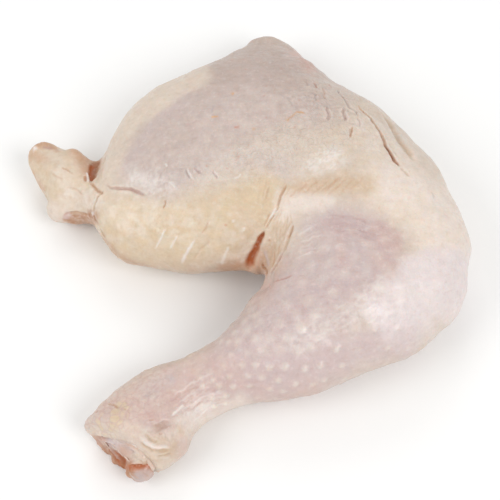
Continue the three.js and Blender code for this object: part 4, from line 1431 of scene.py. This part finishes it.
tissueForm = {
    "around": 150,             # points round it and from its rim to its middle
    "inward": 46,
    "depth": 0.3,              # where its face lies, behind the cut
    "back": 3.2,               # where its back lies
    "backShare": 0.97,         # the back's width, of the face's
    "backStill": 0.6,          # how much of the back doesn't take the swells
    "edgeGap": 0.1,            # between its edge and the rim of the solid
    "coverInset": 1.5,         # more of that gap where the skin covers it, and where that begins
    "coverFrom": 3.0,          # under the skin's edge
    "coverOver": 2.0,
    "tuckDepth": 1.6,          # how much deeper it lies above the skin's edge
    "tuckFrom": 0.3,
    "tuckOver": 0.9,
    "bevelFrom": 0.92,         # of its radius, where the edge falls away, and by how much
    "bevelDepth": 0.8,
    "lumpHeight": 0.4,
    "lumpSize": 2.0,
}


def cutTissue(outline, edge):  # the closed slab of muscle, fat and gristle that fills the cut
    form = tissueForm
    around, inward = form["around"], form["inward"]
    angles = np.arange(around) / around * 2 * math.pi - math.pi
    rim = outline(angles)
    above = rim * np.sin(angles) - edge(rim * np.cos(angles))
    covered = np.clip((above + form["coverFrom"]) / form["coverOver"], 0, 1)
    rim = rim - form["edgeGap"] - form["coverInset"] * covered

    def ring(share, depth):
        right, up = rim * share * np.cos(angles), rim * share * np.sin(angles)
        tuck = np.clip((up - edge(right) - form["tuckFrom"]) / form["tuckOver"], 0, 1)
        sunk = np.outer(depth + form["tuckDepth"] * tuck, hockFacing)
        return list(hockMiddle + np.outer(right, hockRight) + np.outer(up, hockUp) - sunk)

    points, faces = [], []
    for i in range(inward):
        share = 1 - i / inward
        bevel = max(0.0, share - form["bevelFrom"]) / (1 - form["bevelFrom"])
        points += ring(share, form["depth"] + form["bevelDepth"] * bevel)
    centre = len(points)
    points.append(hockMiddle - hockFacing * form["depth"])
    backRow = len(points)
    points += ring(form["backShare"], form["back"])
    backCentre = len(points)
    points.append(hockMiddle - hockFacing * form["back"])
    last = (inward - 1) * around
    for i in range(around):
        j = (i + 1) % around
        for start in range(0, last, around):
            faces.append((start + i, start + j, start + around + j, start + around + i))
        faces.append((last + i, last + j, centre))
        faces.append((i, backRow + i, backRow + j, j))
        faces.append((backRow + j, backRow + i, backCentre))
    return finishMesh("cut_tissue", points, faces)


def dressCut(piece, tone, swellRows, height, size, seed):  # shapes and colours the tissue or the bone
    for rows in (swellRows, cutLines):
        surface = waver(surfaceOf(piece))
        _, _, front = inCut(surface["points"])
        free = np.clip(front + tissueForm["back"] - tissueForm["backStill"], 0, 1)
        offset = layLines(surface, rows)
        if rows is swellRows:
            offset += addNoise(surface, height, size, seed)
        writePoints(piece, surface["points"] + hockFacing * (offset * free)[:, None])
    colours = plainColours(surface, tone)
    layFields(colours, surface, cutFields)
    layInks(colours, surface)
    storeColours(piece.data, "tissueTone", colours)
    return surfaceOf(piece)


strandForm = {
    "sides": 10,
    "flatness": 0.7,           # height over width
    "smoothPasses": 4,
    "ends": 6,                 # how late they taper
}


def tubeAlong(path, radii):
    sides = strandForm["sides"]
    points, faces = [], []
    for i, middle in enumerate(path):
        ahead = path[min(i + 1, len(path) - 1)] - path[max(i - 1, 0)]
        across = np.cross(ahead, hockFacing)
        across /= np.linalg.norm(across)
        rise = np.cross(across, ahead / np.linalg.norm(ahead)) * strandForm["flatness"]
        for k in range(sides):
            turn = 2 * math.pi * k / sides
            points.append(middle + radii[i] * (across * math.cos(turn) + rise * math.sin(turn)))
    for i in range(len(path) - 1):
        for k in range(sides):
            j = (k + 1) % sides
            faces.append((i * sides + k, i * sides + j, (i + 1) * sides + j, (i + 1) * sides + k))
    faces.append(tuple(range(sides))[::-1])
    last = (len(path) - 1) * sides
    faces.append(tuple(last + k for k in range(sides)))
    return points, faces


def makeStrands(ground):
    points, faces = [], []
    for radius, lift, places in strands:
        path = pathOn(ground, places)
        for _ in range(strandForm["smoothPasses"]):
            path[1:-1] = (path[:-2] + 2 * path[1:-1] + path[2:]) / 4
        share = np.linspace(0, 1, len(path))
        radii = radius * np.sqrt(np.clip(1 - (2 * share - 1) ** strandForm["ends"], 0.02, 1))
        some, sides = tubeAlong(path + hockFacing * lift, radii)
        faces += [tuple(i + len(points) for i in face) for face in sides]
        points += some
    return finishMesh("tendons", points, faces)


boneForm = {
    "voxel": 0.3,
    "smoothPasses": 6,
    "lumpHeight": 0.4,
    "lumpSize": 3.0,
}

studio = {
    "worldStrength": 0.62,
    "floorTone": (250, 250, 249),
    "floorHalf": 3000,
    "floorRoughness": 0.9,
    "lights": [
        # name, from where (mm), size (mm), watts
        ("keyLight", (700, -640, 980), 800, 6.0),
        ("fillLight", (-900, -420, 900), 900, 5.0),
        ("backLight", (-100, 1100, 1000), 900, 3.2),
    ],
}


def makeStudio(mottle):
    scene = bpy.context.scene
    scene.view_settings.view_transform = "Standard"
    world = bpy.data.worlds.new("softRoom")
    world.use_nodes = True
    world.node_tree.nodes["Background"].inputs["Color"].default_value = (1, 1, 1, 1)
    world.node_tree.nodes["Background"].inputs["Strength"].default_value = studio["worldStrength"]
    scene.world = world
    for name, place, size, power in studio["lights"]:
        data = bpy.data.lights.new(name, "AREA")
        data.shape = "DISK"
        data.size = size * mm
        data.energy = power
        light = bpy.data.objects.new(name, data)
        light.location = Vector(place) * mm
        towards = Vector(view["target"]) * mm - light.location
        light.rotation_euler = towards.to_track_quat("-Z", "Y").to_euler()
        scene.collection.objects.link(light)
    material, tree, shader = newMaterial("paleFloor")
    tone = (*toLinear(studio["floorTone"]) / toneGain, 1)
    mottled = addNode(tree, "ShaderNodeGroup", {"node_tree": mottle}, Colour=tone, Size=40.0, Amount=0.01)
    tree.links.new(mottled.outputs[0], shader.inputs["Base Color"])
    shader.inputs["Roughness"].default_value = studio["floorRoughness"]
    mesh = bpy.data.meshes.new("floor")
    half = studio["floorHalf"] * mm
    corners = [(-half, -half, 0), (half, -half, 0), (half, half, 0), (-half, half, 0)]
    mesh.from_pydata(corners, [], [(0, 1, 2, 3)])
    floor = bpy.data.objects.new("floor", mesh)
    floor.data.materials.append(material)
    scene.collection.objects.link(floor)


makeCamera()
mottle = mottleGroup()
damp = dampGroup()
makeStudio(mottle)
print("camera and studio made")

skin = fineCopy("leg", "leg_skin", skinForm["voxel"], skinForm["smoothPasses"])
print("skin meshed", len(skin.data.vertices))
refine(skin, towardsEye(surfaceOf(skin)), skinForm["refinePasses"])
skinSurface = surfaceOf(skin)
crowded = fieldStrength(skinSurface, fineFields) > skinForm["fineShare"]
crowded |= nearLines(skinSurface, skinLines, skinForm["fineReach"])
refine(skin, towardsEye(skinSurface) & crowded, skinForm["refinePasses"])
print("skin refined", len(skin.data.vertices))
outline = cutOutline()
edge = edgeHeights()
openCut(skin, outline, edge)
skinSurface = shapeSkin(skin)
offTable = np.clip(skinSurface["points"][:, 2] / skinForm["grainFade"], 0, 1)
for maskName, fields in skinMasks.items():
    storeFloats(skin.data, maskName, fieldStrength(skinSurface, fields) * offTable)
storeFloats(skin.data, "relief", skinSurface["relief"])
skinColours = paintSkin(skinSurface)
paintRim(skinColours, skinSurface, outline, edge)
storeColours(skin.data, "skinTone", skinColours)
raiseFollicles(skin, skinMaterial(mottle, damp))
skin.data.shade_smooth()
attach(skin, "root")
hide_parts("leg")
print("skin done", len(skin.data.polygons))

gristle = gristleMaterial(mottle, damp, "gristle", "tissueTone")
tissue = cutTissue(outline, edge)
tissueSurface = dressCut(tissue, "meat", tissueSwells, tissueForm["lumpHeight"], tissueForm["lumpSize"], 3)
tissue.data.materials.append(gristle)
tissue.data.shade_smooth()
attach(tissue, "root")

bone = fineCopy("hock_bone", "bone_end", boneForm["voxel"], boneForm["smoothPasses"])
boneSurface = dressCut(bone, "boneGrey", [], boneForm["lumpHeight"], boneForm["lumpSize"], 4)
bone.data.materials.clear()
bone.data.materials.append(gristle)
bone.data.shade_smooth()
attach(bone, "root")
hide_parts("hock_bone")

ground = {}
for key in ("points", "across", "down", "depth"):
    ground[key] = np.concatenate([tissueSurface[key], boneSurface[key]])
tendons = makeStrands(ground)
storeColours(tendons.data, "tendonTone", plainColours(surfaceOf(tendons), "tendon"))
tendons.data.materials.append(gristleMaterial(mottle, damp, "tendon", "tendonTone"))
tendons.data.shade_smooth()
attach(tendons, "root")
print("cut hock made", len(tissue.data.polygons), len(bone.data.polygons))
